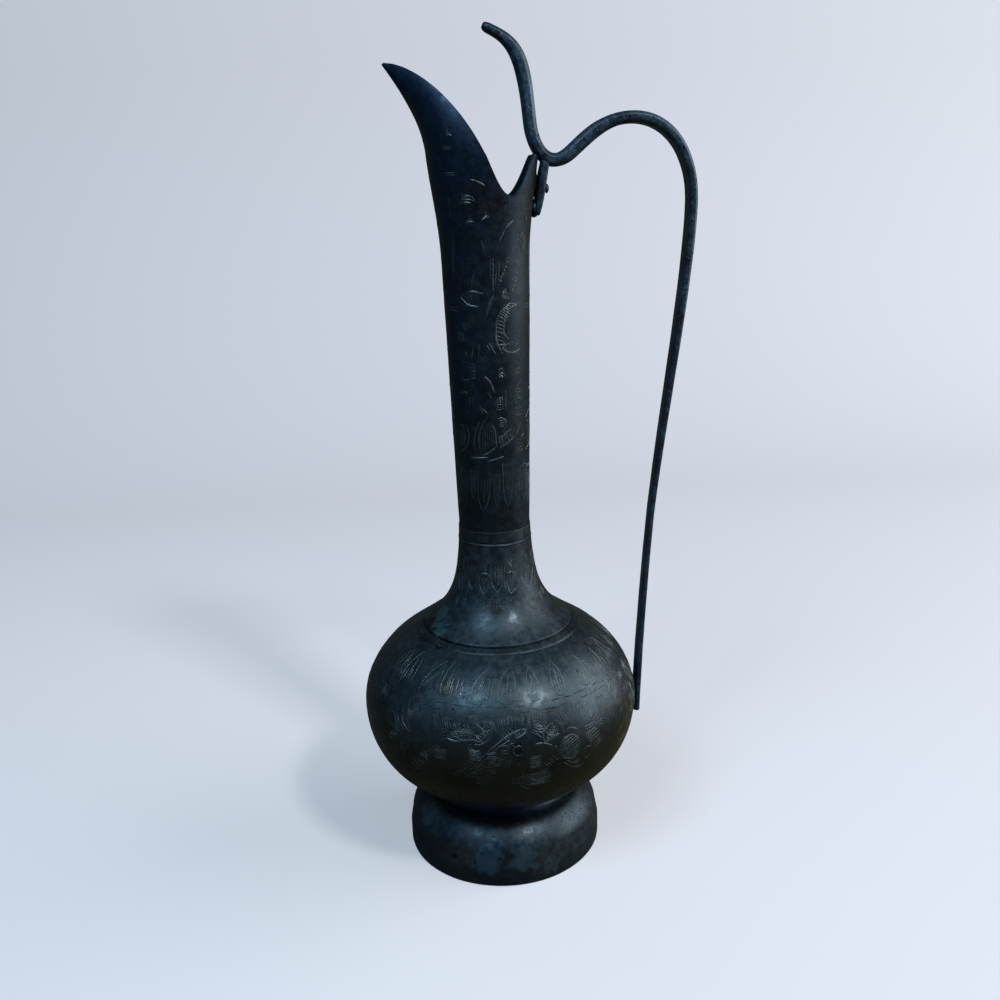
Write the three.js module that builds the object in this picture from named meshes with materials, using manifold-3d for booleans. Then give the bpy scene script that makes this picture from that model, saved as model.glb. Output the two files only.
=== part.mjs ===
// An engraved brass ewer: ring foot, round belly, long neck with a beak spout, and one strap handle.
// Millimetres, +Z up. The spout points to -X and the handle to +X.
import * as THREE from "three";
import { mergeVertices } from "three/addons/utils/BufferGeometryUtils.js";
import Module from "manifold-3d";

const wasm = await Module();
wasm.setup();

// Fits and facets
const jointGap = 0.3;          // space that a soldered or seated joint keeps between two pieces
const rivetClearance = 0.15;   // space round the rivet's shank in its holes
const facets = 40;             // sides of a turned piece, a multiple of four
const curveSteps = 6;          // steps along each curved stretch of a profile
const pinFacets = 16;          // sides of the rivet and of a solder bead

// Foot
const footBaseRadius = 48.7;
const footBandHeight = 9.3;    // plain upright band at the ground
const footShoulderRadius = 47.4;
const footShoulderHeight = 16.5;
const footTopRadius = 38;
const footHeight = 28.4;
const footThroatRadius = 32;   // where the foot turns up to meet the belly
const footThroatRise = 5.4;    // from the foot's top to the belly
const footRimWidth = 4.2;      // flat ring that the ewer stands on
const footWall = 2.6;
const footInnerRadius = 26.5;  // opening of the foot under the belly
const footEdgeChamfer = 0.5;   // at both edges of the band
const footShoulderDrop = 6.8;   // how steeply the shoulder falls to the band
const footTopRun = 2.8;         // and how flat it leaves the top

// Belly
const bellyRadius = 67.3;
const lowerBowlDepth = 46.3;   // from the belly's widest line down to its seat on the foot
const lowerBowlSag = 3.1;      // the bottom's drop inside the foot
const shoulderRise = 47.3;     // upright half axis of the upper bowl's ellipse
const bowlWall = 1.6;
const seamLipHeight = 4;       // lip of the lower bowl inside the upper one
const seamLipWall = 1.2;
const shoulderHoleRadius = 26.5;
const seatInset = 2;           // where the bottom turns up, inside the foot's throat
const soleFlat = 0.72;         // flat share of the bottom
const bowlFullness = 0.77;     // how wide the lower bowl swells at its foot, of the belly's radius
const bowlFullRise = 0.17;     // and how high that swell sits, of the bowl's depth
const bowlUpright = 0.52;      // upright share of the bowl's depth under the widest line

// Neck collar
const collarSkirtRadius = 36.2;
const collarEdgeThickness = 1;
const collarHeight = 49.5;     // from the skirt's edge to the neck's seam
const collarTopRadius = 17.1;
const collarWall = 1.4;
const socketDepth = 9;         // the neck's spigot inside the collar
const socketWall = 1.2;
const socketLedge = 1.4;       // ledge that the spigot's end stands over
const collarSpread = 3.4;      // how the bell opens towards its skirt
const collarSpreadRise = 10.9;
const collarSlimming = 0.9;    // and how it slims towards the neck
const collarSlimDrop = 25;
const collarLandWidth = 4.3;   // flat band under the skirt that rests on the shoulder

// Neck, mouth and spout
const neckBaseRadius = 16.8;
const neckLength = 119.7;      // evenly tapered stretch above the seam
const neckTopRadius = 19.55;
const flareLength = 46;
const mouthRadius = 24.2;
const neckWall = 2.4;
const spoutReach = 40.6;       // from the neck's axis to the tip
const spoutRise = 37;          // from the mouth's level up to the tip
const spoutTipHalfWidth = 0.9;
const spoutTipWall = 1.1;
const saddleSetback = 10.8;    // lowest point of the mouth's edge, behind the axis
const saddleDrop = 17.5;       // and below the mouth's level
const tabDrop = 0.8;           // inner top of the rear tab, below the mouth's level
const tabInset = 1.5;          // and in from the mouth's radius
const tabSlope = 2.2;          // fall of the tab's top from its inner to its outer corner
const flareSoftness = 0.35;    // how slowly the trumpet leaves the neck, as a share of its length
const flareSpread = 1.9;       // and how much it opens in its last stretch
const flareSpreadDrop = 18;
const beakBulge = 0.5;         // swell of the beak's front above the mouth
const beakFrontPulls = [0.25, 0.7, 0.545];          // shares of the spout's rise, reach and rise
const beakMiddlePulls = [0.22, 0.5, 0.62, 0.97];     // shares of its reach and rise, twice
const beakEdgePulls = [0.6, 0.985, 0.19, 0.495];
const beakNarrowing = 1.3;     // above 1, the beak narrows early
const beakSteps = 12;

// Handle: a strap along a curve in the ewer's middle plane
const spurLength = 54.4;       // thumb spur above the bend
const spurLean = 27.3;         // and how far its tip leans towards the spout
const spurWaistRise = 16.3;    // place where the spur turns upright, above the bend
const spurWaistLean = 8.9;     // and towards the spout
const bendOutRise = 3.7;       // place where the strap leaves the bend for the arch
const bendOutRun = 9.1;
const bendStandOff = 5.7;      // the bend's middle behind the mouth's radius
const bendDrop = 3.1;          // and below the mouth's level
const crownRise = 16.6;        // top of the arch above the bend
const crownReach = 35.1;       // and behind the bend
const handleReach = 91.9;      // outermost point, from the neck's axis
const handleShoulderDrop = 19.2;
const tailRun = 14;            // tail past the belly's widest line
const limbKneeRise = 86.6;     // the limb's lower bend above the belly's widest line
const limbKneeOut = 7.7;       // and out from the belly's radius
const spurTipThickness = 3.2;
const spurThickness = 5;
const bendThickness = 5;
const archThickness = 3.7;
const tailThickness = 1.9;
const spurTipWidth = 6.5;
const spurWidth = 9.5;
const archWidth = 11.5;
const tailWidth = 8;
const strapArris = 0.28;       // bevel on the strap's edges, as a share of its thickness
const tailStandOff = 1.2;      // solder between the belly and the strap
const spurNose = 1.1;          // rounding of the spur's tip

// Bracket and rivet
const bracketWidth = 10;
const bracketDrop = 23.2;      // from the bend's middle down to the leg's foot
const bracketThickness = 4.6;
const bracketCheek = 3;        // how far the leg reaches above and below the bend's middle
const bracketFootChamfer = 3.6;
const bracketChamfer = 0.6;
const rivetSeatMargin = 0.6;   // flat round the rivet's head
const rivetDrop = 11;          // rivet's axis below the bend's middle
const rivetRadius = 1.5;
const rivetHeadRadius = 2.2;
const rivetHeadHeight = 1.5;
const rivetPeenHeight = 1.1;   // the end that is hammered over inside the neck

// Solder
const collarSolderWidth = 3.5;
const collarSolderHeight = 0.8;
const footSolderWidth = 2.4;
const footSolderHeight = 2.2;
const solderEdge = 0.25;       // thickness that a band runs out to
const bracketSolderWidth = 7;
const bracketSolderHeight = 2.6;
const bracketSolderDepth = 2.2;
const beadSink = 0.4;          // how far a bead's middle stands off its wall
const tailSolderReach = 2.6;   // how far it stands out from the belly
const tailSolderLength = 20;
const tailSolderMargin = 1.6;  // solder past each edge of the strap

// Levels that follow from the sizes
const seatLevel = footHeight + footThroatRise;
const beltLevel = seatLevel + lowerBowlDepth;
const shoulderLevel = (radius) => beltLevel + shoulderRise * Math.sqrt(1 - (radius / bellyRadius) ** 2);
const skirtLevel = shoulderLevel(collarSkirtRadius) + jointGap;
const seamLevel = skirtLevel + collarHeight;
const flareLevel = seamLevel + neckLength;
const mouthLevel = flareLevel + flareLength;
const bendX = mouthRadius + bendStandOff;
const bendLevel = mouthLevel - bendDrop;
const rivetLevel = bendLevel - rivetDrop;

const v2 = (x, y) => new THREE.Vector2(x, y);
const v3 = (x, y, z) => new THREE.Vector3(x, y, z);
const degrees = (angle) => (angle * Math.PI) / 180;

// Finishes, from the darkest patina to the brighter rubbed edges
const darkBrass = new THREE.MeshStandardMaterial({ color: 0x3a4140, roughness: 0.5, metalness: 0.8 });
const footBrass = new THREE.MeshStandardMaterial({ color: 0x34393c, roughness: 0.55, metalness: 0.8 });
const strapBrass = new THREE.MeshStandardMaterial({ color: 0x3d474a, roughness: 0.6, metalness: 0.75 });
const solderGrey = new THREE.MeshStandardMaterial({ color: 0x4a5050, roughness: 0.65, metalness: 0.6 });

// Solids

// A geometry as a solid that can be joined and cut.
function toSolid(geometry) {
  const bare = new THREE.BufferGeometry();
  bare.setAttribute("position", geometry.getAttribute("position"));
  if (geometry.index) bare.setIndex(geometry.index);
  const merged = mergeVertices(bare, 1e-4);
  const corners = merged.getIndex().array;
  const triangles = [];
  for (let i = 0; i < corners.length; i += 3) {
    const [a, b, c] = corners.slice(i, i + 3);
    if (a !== b && b !== c && c !== a) triangles.push(a, b, c);
  }
  const vertProperties = Float32Array.from(merged.getAttribute("position").array);
  const triVerts = Uint32Array.from(triangles);
  return new wasm.Manifold(new wasm.Mesh({ numProp: 3, vertProperties, triVerts }));
}

function toGeometry(solid) {
  const mesh = solid.getMesh();
  const geometry = new THREE.BufferGeometry();
  geometry.setAttribute("position", new THREE.BufferAttribute(mesh.vertProperties, 3));
  geometry.setIndex(new THREE.BufferAttribute(mesh.triVerts, 1));
  return geometry;
}

// Turns a closed profile of radius and height round the upright axis.
function turned(profile) {
  return new THREE.LatheGeometry([...profile, profile[0]], facets).rotateX(Math.PI / 2);
}

// Turns a profile that starts and ends on the axis.
function turnedSolidCore(profile) {
  return new THREE.LatheGeometry(profile, facets).rotateX(Math.PI / 2);
}

// Points of a curve pushed to its left by a distance.
function offsetLeft(points, distance) {
  return points.map((point, i) => {
    const before = points[Math.max(i - 1, 0)];
    const after = points[Math.min(i + 1, points.length - 1)];
    const along = after.clone().sub(before).normalize();
    return v2(point.x - along.y * distance, point.y + along.x * distance);
  });
}

// Skins a stack of rings, each listed counter-clockwise as seen from the last ring, and closes both ends.
function skinned(rings) {
  const sides = rings[0].length;
  const middle = (ring) => ring.reduce((sum, point) => sum.add(point), v3(0, 0, 0)).divideScalar(sides);
  const points = [...rings.flat(), middle(rings[0]), middle(rings.at(-1))];
  const firstMiddle = points.length - 2;
  const lastMiddle = points.length - 1;
  const lastRing = (rings.length - 1) * sides;
  const corners = [];
  for (let j = 0; j < sides; j++) {
    const next = (j + 1) % sides;
    for (let base = 0; base < lastRing; base += sides) {
      corners.push(base + j, base + next, base + sides + next);
      corners.push(base + j, base + sides + next, base + sides + j);
    }
    corners.push(firstMiddle, next, j);
    corners.push(lastMiddle, lastRing + j, lastRing + next);
  }
  const geometry = new THREE.BufferGeometry().setFromPoints(points);
  geometry.setIndex(corners);
  return geometry;
}

// Extrudes an outline of x and height evenly to both sides of the middle plane.
function acrossPlane(outline, width, bevel = 0) {
  const settings = { depth: width - 2 * bevel, bevelEnabled: bevel > 0, steps: 1 };
  Object.assign(settings, { bevelThickness: bevel, bevelSize: bevel, bevelOffset: -bevel, bevelSegments: 1 });
  const geometry = new THREE.ExtrudeGeometry(new THREE.Shape(outline), settings);
  return geometry.translate(0, 0, bevel - width / 2).rotateX(Math.PI / 2);
}

// Foot and belly

// The lower bowl's outside from the middle of its bottom up to the belly's widest line.
function lowerBowlOutside() {
  const bottom = v2(0, seatLevel - lowerBowlSag);
  const seat = v2(footThroatRadius - seatInset, seatLevel);
  const sole = new THREE.QuadraticBezierCurve(bottom, v2(seat.x * soleFlat, bottom.y), seat);
  const fullPull = v2(bellyRadius * bowlFullness, seatLevel + lowerBowlDepth * bowlFullRise);
  const uprightPull = v2(bellyRadius, beltLevel - lowerBowlDepth * bowlUpright);
  const side = new THREE.CubicBezierCurve(seat, fullPull, uprightPull, v2(bellyRadius, beltLevel));
  return [...sole.getPoints(3), ...side.getPoints(curveSteps + 2).slice(1)];
}

// Height of the lower bowl's outside at a radius.
function lowerBowlLevel(radius) {
  const points = lowerBowlOutside();
  const i = points.findIndex((point) => point.x >= radius);
  const [a, b] = [points[i - 1], points[i]];
  return a.y + ((b.y - a.y) * (radius - a.x)) / (b.x - a.x);
}

function upperBowlOutside() {
  const holeAngle = Math.acos(shoulderHoleRadius / bellyRadius);
  const shoulder = new THREE.EllipseCurve(0, beltLevel, bellyRadius, shoulderRise, 0, holeAngle);
  return shoulder.getPoints(curveSteps + 4);
}

function makeFoot() {
  const shoulder = new THREE.CubicBezierCurve(
    v2(footShoulderRadius, footShoulderHeight),
    v2(footShoulderRadius, footHeight - footShoulderDrop),
    v2(footTopRadius + footTopRun, footHeight),
    v2(footTopRadius, footHeight),
  );
  const throatTop = lowerBowlLevel(footThroatRadius) - jointGap;
  const throat = new THREE.QuadraticBezierCurve(
    v2(footTopRadius, footHeight),
    v2(footThroatRadius, footHeight),
    v2(footThroatRadius, throatTop - footSolderHeight - jointGap),
  );
  const outside = [
    v2(footBaseRadius - footEdgeChamfer, 0),
    v2(footBaseRadius, footEdgeChamfer),
    v2(footBaseRadius, footBandHeight - footEdgeChamfer),
    v2(footBaseRadius - footEdgeChamfer, footBandHeight),
    ...shoulder.getPoints(curveSteps),
    ...throat.getPoints(3).slice(1),
    v2(footThroatRadius, throatTop),
  ];
  const inside = [
    v2(footInnerRadius, lowerBowlLevel(footInnerRadius) - jointGap),
    v2(footInnerRadius, footHeight - footWall),
    v2(footTopRadius - footWall, footHeight - footWall),
    v2(footShoulderRadius - footWall, footShoulderHeight),
    v2(footBaseRadius - footRimWidth, footBandHeight),
    v2(footBaseRadius - footRimWidth, 0),
  ];
  return turned([...outside, ...inside]);
}

function makeFootSolder() {
  const inner = footThroatRadius + jointGap;
  const outer = inner + footSolderWidth;
  const top = (radius) => lowerBowlLevel(radius) - jointGap;
  const profile = [v2(inner, top(inner) - footSolderHeight), v2(outer, top(outer) - solderEdge)];
  return turned([...profile, v2(outer, top(outer)), v2(inner, top(inner))]);
}

function makeLowerBowl() {
  const outside = lowerBowlOutside();
  const inside = offsetLeft(outside, bowlWall).reverse();
  inside[inside.length - 1].x = 0;
  const lipOuter = bellyRadius - bowlWall - 2 * jointGap;
  const lipInner = lipOuter - seamLipWall;
  const lip = [
    v2(lipOuter, beltLevel - jointGap),
    v2(lipOuter, beltLevel + seamLipHeight),
    v2(lipInner, beltLevel + seamLipHeight),
    v2(lipInner, beltLevel - seamLipHeight),
  ];
  const rim = v2(bellyRadius, beltLevel - jointGap);
  const belowLip = (point) => point.y < beltLevel - seamLipHeight - bowlWall / 2 && point.x < lipInner;
  return turnedSolidCore([...outside.slice(0, -1), rim, ...lip, ...inside.filter(belowLip)]);
}

function makeUpperBowl() {
  const outside = upperBowlOutside();
  const inside = offsetLeft(outside, bowlWall).reverse();
  inside[inside.length - 1].y = beltLevel;
  return turned([...outside, ...inside]);
}

// Neck collar

function collarOutside() {
  const skirt = v2(collarSkirtRadius, skirtLevel + collarEdgeThickness);
  const top = v2(collarTopRadius, seamLevel);
  const flarePull = v2(collarTopRadius + collarSpread, skirtLevel + collarSpreadRise);
  const uprightPull = v2(collarTopRadius + collarSlimming, seamLevel - collarSlimDrop);
  return new THREE.CubicBezierCurve(skirt, flarePull, uprightPull, top).getPoints(curveSteps + 4);
}

function makeNeckCollar() {
  const outside = collarOutside();
  const socketRadius = collarTopRadius - socketWall;
  const socketFloor = seamLevel - socketDepth - jointGap;
  const ledgeRadius = socketRadius - socketLedge;
  const socket = [v2(socketRadius, seamLevel), v2(socketRadius, socketFloor), v2(ledgeRadius, socketFloor)];
  const landInner = collarSkirtRadius - collarLandWidth;
  const landMiddle = collarSkirtRadius - collarLandWidth / 2;
  const bell = offsetLeft(outside, collarWall).reverse();
  const keepsClear = (point) => point.y < socketFloor - collarWall && point.x < landInner - collarWall;
  const land = [landInner, landMiddle, collarSkirtRadius].map((radius) => {
    return v2(radius, shoulderLevel(radius) + jointGap);
  });
  return turned([...outside, ...socket, ...bell.filter(keepsClear), ...land]);
}

function makeCollarSolder() {
  const inner = collarSkirtRadius + jointGap;
  const outer = inner + collarSolderWidth;
  const bed = (radius) => shoulderLevel(radius) + jointGap;
  const middle = (inner + outer) / 2;
  const under = [v2(inner, bed(inner)), v2(middle, bed(middle)), v2(outer, bed(outer))];
  const crown = v2(middle, bed(middle) + (solderEdge + collarSolderHeight) * 0.6);
  const over = [v2(outer, bed(outer) + solderEdge), crown, v2(inner, bed(inner) + collarSolderHeight)];
  return turned([...under, ...over]);
}

// Neck and spout

// The neck's outside radius and height, from the seam up to the mouth's level.
function neckOutside() {
  const flare = new THREE.CubicBezierCurve(
    v2(neckTopRadius, flareLevel),
    v2(neckTopRadius, flareLevel + flareLength * flareSoftness),
    v2(mouthRadius - flareSpread, mouthLevel - flareSpreadDrop),
    v2(mouthRadius, mouthLevel),
  );
  const middle = v2((neckBaseRadius + neckTopRadius) / 2, (seamLevel + flareLevel) / 2);
  return [v2(neckBaseRadius, seamLevel), middle, ...flare.getPoints(curveSteps)];
}

function neckRadius(level) {
  const points = neckOutside();
  const i = Math.max(1, points.findIndex((point) => point.y >= level));
  const [a, b] = [points[i - 1], points[i]];
  return a.x + ((b.x - a.x) * (level - a.y)) / (b.y - a.y);
}

function roundRing(radius, level) {
  return ovalRing(v3(0, 0, level), v3(-radius, 0, 0), radius);
}

// A ring round a middle point: one half axis is a vector in the middle plane, the other lies along Y.
function ovalRing(middle, reach, halfWidth) {
  return Array.from({ length: facets }, (_, j) => {
    const angle = (j / facets) * 2 * Math.PI;
    const across = v3(0, -Math.sin(angle) * halfWidth, 0);
    return middle.clone().addScaledVector(reach, Math.cos(angle)).add(across);
  });
}

// A point of the middle plane at shares of the spout's reach and rise.
const beakPoint = (reach, rise) => v2(-spoutReach * reach, mouthLevel + spoutRise * rise);

// Rings of the beak along its front line and the line of its middles, from the mouth's level to the tip.
// A thinning of 1 gives the hollow inside the wall, and 0 the outside.
function beakSections(thinning) {
  const [frontRise, frontReach, frontRiseHigh] = beakFrontPulls;
  const front = new THREE.CubicBezierCurve(
    v2(-mouthRadius, mouthLevel),
    v2(-mouthRadius - beakBulge, mouthLevel + spoutRise * frontRise),
    beakPoint(frontReach, frontRiseHigh),
    beakPoint(1, 1),
  );
  const [reachLow, riseLow, reachHigh, riseHigh] = beakMiddlePulls;
  const tipMiddle = beakPoint(1, 1).add(v2(spoutTipWall / 3, -spoutTipWall / 5));
  const middles = new THREE.CubicBezierCurve(
    v2(0, mouthLevel), beakPoint(reachLow, riseLow), beakPoint(reachHigh, riseHigh), tipMiddle,
  );
  const rings = [];
  for (let i = 1; i <= beakSteps; i++) {
    const t = i / beakSteps;
    const middle = middles.getPoint(t);
    const reach = front.getPoint(t).sub(middle);
    const wall = thinning * (neckWall + (spoutTipWall - neckWall) * t);
    const narrowing = Math.cos((t * Math.PI) / 2) ** beakNarrowing;
    const halfWidth = spoutTipHalfWidth + (mouthRadius - spoutTipHalfWidth) * narrowing - wall;
    const length = reach.length() - wall;
    if (thinning && Math.min(halfWidth, length) < spoutTipWall / 2) break;
    reach.setLength(length);
    rings.push(ovalRing(v3(middle.x, 0, middle.y), v3(reach.x, 0, reach.y), halfWidth));
  }
  return rings;
}

function neckOuterRings(clearance = 0) {
  return neckOutside().map((point) => roundRing(point.x + clearance, point.y));
}

// The mouth's edge seen from the side: spout edge, saddle and rear tab. What lies above it is cut away.
function aboveMouthEdge() {
  const far = 2 * spoutReach;
  const high = mouthLevel + 2 * spoutRise;
  const [reachHigh, riseHigh, reachLow, riseLow] = beakEdgePulls;
  const tip = beakPoint(1, 1).add(v2(0, spoutTipWall / 3));
  const brow = v2(saddleSetback * 0.09, mouthLevel);
  const browPull = v2(saddleSetback * 0.36, mouthLevel - saddleDrop * 0.54);
  const saddle = v2(saddleSetback, mouthLevel - saddleDrop);
  const tab = v2(mouthRadius - tabInset, mouthLevel - tabDrop);
  const saddleSpan = tab.x - saddle.x;
  const edge = new THREE.Shape();
  edge.moveTo(-far, tip.y);
  edge.lineTo(tip.x, tip.y);
  curveTo(edge, beakPoint(reachHigh, riseHigh), beakPoint(reachLow, riseLow), brow);
  curveTo(edge, browPull, v2(saddle.x * 0.81, saddle.y), saddle);
  const tabPull = v2(tab.x - saddleSpan / 4, tab.y - saddleDrop * 0.37);
  curveTo(edge, v2(saddle.x + saddleSpan / 4, saddle.y), tabPull, tab);
  edge.lineTo(mouthRadius, tab.y - tabSlope);
  edge.lineTo(far, tab.y - tabSlope);
  edge.lineTo(far, high);
  edge.lineTo(-far, high);
  return acrossPlane(edge.getPoints(curveSteps + 3), 4 * mouthRadius);
}

function curveTo(shape, pullA, pullB, end) {
  shape.bezierCurveTo(pullA.x, pullA.y, pullB.x, pullB.y, end.x, end.y);
}

function rivetShank(radius) {
  const length = 4 * rivetHeadHeight + 2 * (neckWall + bracketThickness);
  const shank = new THREE.CylinderGeometry(radius, radius, length, pinFacets).rotateZ(Math.PI / 2);
  return shank.translate(neckRadius(rivetLevel), 0, rivetLevel);
}

function makeNeckSpout() {
  const spigotRadius = collarTopRadius - socketWall - jointGap;
  const spigotFoot = seamLevel - socketDepth;
  const seatRing = seamLevel + jointGap / 2;
  const spigot = [roundRing(spigotRadius, spigotFoot), roundRing(spigotRadius, seatRing)];
  const base = [roundRing(neckBaseRadius, seatRing)];
  const outer = toSolid(skinned([...spigot, ...base, ...neckOuterRings().slice(1), ...beakSections(0)]));
  const bore = neckOutside().map((point) => roundRing(point.x - neckWall, point.y));
  const boreFoot = roundRing(neckBaseRadius - neckWall, spigotFoot - 1);
  const inner = toSolid(skinned([boreFoot, ...bore, ...beakSections(1)]));
  const tube = outer.subtract(inner).subtract(toSolid(aboveMouthEdge()));
  return toGeometry(tube.subtract(toSolid(rivetShank(rivetRadius + rivetClearance))));
}

// Handle

// A place on the strap's middle line: where it is, which way it heads in degrees, and how far it runs on
// nearly straight before and after.
const station = (x, level, heading, before, after) => ({ at: v2(x, level), heading, before, after });

function strapCurves() {
  const tailX = bellyRadius + tailStandOff + tailThickness / 2;
  const stations = [
    station(bendX - spurLean, bendLevel + spurLength, -24, 0, 12.5),
    station(bendX - spurWaistLean, bendLevel + spurWaistRise, -84.5, 20.5, 10.8),
    station(bendX + bendOutRun, bendLevel + bendOutRise, 40, 14.4, 9.6),
    station(bendX + crownReach, bendLevel + crownRise, 0, 11, 16.5),
    station(handleReach, bendLevel - handleShoulderDrop, -91, 20, 34),
    station(bellyRadius + limbKneeOut, beltLevel + limbKneeRise, -94.8, 38.6, 32.6),
    station(tailX, beltLevel - tailRun, -92, 32, 0),
  ];
  const arm = (place, length) => {
    const turn = degrees(place.heading);
    return v2(place.at.x + Math.cos(turn) * length, place.at.y + Math.sin(turn) * length);
  };
  return stations.slice(1).map((end, i) => {
    const start = stations[i];
    return new THREE.CubicBezierCurve(start.at, arm(start, start.after), arm(end, -end.before), end.at);
  });
}

// The strap's width and thickness where each curve starts, and at the tail.
const strapSizes = [
  [spurTipWidth, spurTipThickness],
  [spurWidth, spurThickness],
  [archWidth - 1, bendThickness],
  [archWidth, archThickness],
  [archWidth, archThickness - 0.2],
  [tailWidth, tailThickness],
  [tailWidth, tailThickness],
];

// Sections of the strap: an oblong with bevelled arrises, square to the curve.
function strapRings(clearance = 0) {
  const steps = [8, 8, 6, 8, 8, 4];
  const rings = [];
  strapCurves().forEach((curve, k) => {
    for (let i = k ? 1 : 0; i <= steps[k]; i++) {
      const t = i / steps[k];
      const ease = t * t * (3 - 2 * t);
      const [width, thickness] = strapSizes[k].map((size, n) => size + (strapSizes[k + 1][n] - size) * ease);
      rings.push(strapSection(curve.getPoint(t), curve.getTangent(t), width, thickness, clearance));
    }
  });
  return rings;
}

function strapSection(at, along, width, thickness, clearance) {
  const [u, v] = [thickness / 2 + clearance, width / 2 + clearance];
  const bevel = strapArris * thickness;
  const quarter = [[u, v - bevel], [u - bevel, v]];
  const mirrored = quarter.map(([a, b]) => [-a, b]).reverse();
  const half = [...quarter, ...mirrored];
  const section = [...half, ...half.map(([a, b]) => [-a, -b])];
  const outward = v3(along.y, 0, -along.x);
  return section.map(([a, b]) => v3(at.x, b, at.y).addScaledVector(outward, a));
}

// The spur's tip gets one smaller section that rounds it.
function makeHandle() {
  const rings = strapRings();
  const tip = strapCurves()[0];
  const nose = tip.getPoint(0).addScaledVector(tip.getTangent(0), -spurNose);
  const [noseWidth, noseThickness] = [spurTipWidth - 2 * spurNose, spurTipThickness - 1.5 * spurNose];
  const noseRing = strapSection(nose, tip.getTangent(0), noseWidth, noseThickness, 0);
  return skinned([noseRing, ...rings]);
}

function handleWithClearance() {
  return toSolid(skinned(strapRings(jointGap)));
}

// Bracket, rivet and the solder beads

function makeBracket() {
  const foot = bendLevel - bracketDrop;
  const footX = neckRadius(foot);
  const rivetX = neckRadius(rivetLevel);
  const seatReach = rivetHeadRadius + rivetSeatMargin;
  const outline = [
    v2(bendX - bracketThickness, bendLevel + bracketCheek),
    v2(rivetX, rivetLevel + seatReach),
    v2(footX, foot),
    v2(footX + bracketThickness / 2, foot),
    v2(footX + bracketThickness, foot + bracketFootChamfer),
    v2(rivetX + bracketThickness, rivetLevel - seatReach),
    v2(rivetX + bracketThickness, rivetLevel + seatReach),
    v2(bendX - bracketThickness / 4, bendLevel - bracketCheek),
    v2(bendX - bracketThickness / 8, bendLevel + bracketCheek),
  ];
  const plate = toSolid(acrossPlane(outline.reverse(), bracketWidth, bracketChamfer));
  const neck = toSolid(skinned(neckOuterRings(jointGap)));
  const hole = toSolid(rivetShank(rivetRadius + rivetClearance));
  return toGeometry(plate.subtract(neck).subtract(handleWithClearance()).subtract(hole));
}

function makeRivet() {
  const neckX = neckRadius(rivetLevel);
  const innerSeat = neckX - neckWall - jointGap;
  const outerSeat = neckX + bracketThickness + jointGap;
  const quarter = Math.PI / 2;
  const dome = (seat, height, from, to) => {
    return new THREE.EllipseCurve(0, seat, rivetHeadRadius, height, from, to).getPoints(3);
  };
  const peen = dome(innerSeat, rivetPeenHeight, -quarter, 0);
  const head = dome(outerSeat, rivetHeadHeight, 0, quarter);
  peen[0].x = 0;
  head.at(-1).x = 0;
  const profile = [...peen, v2(rivetRadius, innerSeat), v2(rivetRadius, outerSeat), ...head];
  const rivet = new THREE.LatheGeometry(profile, pinFacets);
  return rivet.rotateZ(-Math.PI / 2).translate(0, 0, rivetLevel);
}

function makeBracketSolder() {
  const level = bendLevel - bracketDrop - jointGap - bracketSolderHeight / 2;
  const bead = new THREE.SphereGeometry(1, pinFacets, pinFacets / 2);
  bead.scale(bracketSolderDepth, bracketSolderWidth / 2, bracketSolderHeight / 2);
  bead.translate(neckRadius(level) + beadSink, 0, level);
  return toGeometry(toSolid(bead).subtract(toSolid(skinned(neckOuterRings(jointGap)))));
}

function bellyWithClearance() {
  const outside = [...lowerBowlOutside(), ...upperBowlOutside().slice(1), v2(0, beltLevel + shoulderRise)];
  const swell = (point) => v2(point.x && point.x + jointGap, point.y);
  return toSolid(turnedSolidCore(outside.map(swell)));
}

function makeTailSolder() {
  const pad = new THREE.SphereGeometry(1, pinFacets, pinFacets / 2);
  pad.scale(tailSolderReach, tailWidth / 2 + tailSolderMargin, tailSolderLength / 2);
  pad.translate(bellyRadius + beadSink, 0, beltLevel);
  return toGeometry(toSolid(pad).subtract(bellyWithClearance()).subtract(handleWithClearance()));
}

// Assembly
const ewer = new THREE.Group();

function add(name, geometry, material) {
  const mesh = new THREE.Mesh(geometry, material);
  mesh.name = name;
  ewer.add(mesh);
}

add("foot", makeFoot(), footBrass);
add("foot_solder", makeFootSolder(), solderGrey);
add("lower_bowl", makeLowerBowl(), darkBrass);
add("upper_bowl", makeUpperBowl(), darkBrass);
add("neck_collar", makeNeckCollar(), darkBrass);
add("collar_solder", makeCollarSolder(), solderGrey);
add("neck_spout", makeNeckSpout(), darkBrass);
add("handle", makeHandle(), strapBrass);
add("handle_bracket", makeBracket(), strapBrass);
add("handle_rivet", makeRivet(), strapBrass);
add("bracket_solder", makeBracketSolder(), solderGrey);
add("tail_solder", makeTailSolder(), solderGrey);

// The frame's origin is on the ground, in the middle of the ewer's length and breadth.
const box = new THREE.Box3().setFromObject(ewer);
ewer.position.set(-(box.min.x + box.max.x) / 2, 0, 0);

export default ewer;
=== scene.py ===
"""Looks for an engraved brass ewer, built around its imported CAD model.

Every piece is made in the ewer's own frame, in metres, in the place of the CAD node that it stands for. The
spout points to -X and the handle to +X.
"""
import bisect
import math
import random

import bpy
from bpy.props import FloatProperty, FloatVectorProperty, IntProperty, PointerProperty
from bpy.types import Operator, Panel, PropertyGroup
from mathutils import Matrix, Vector


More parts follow.
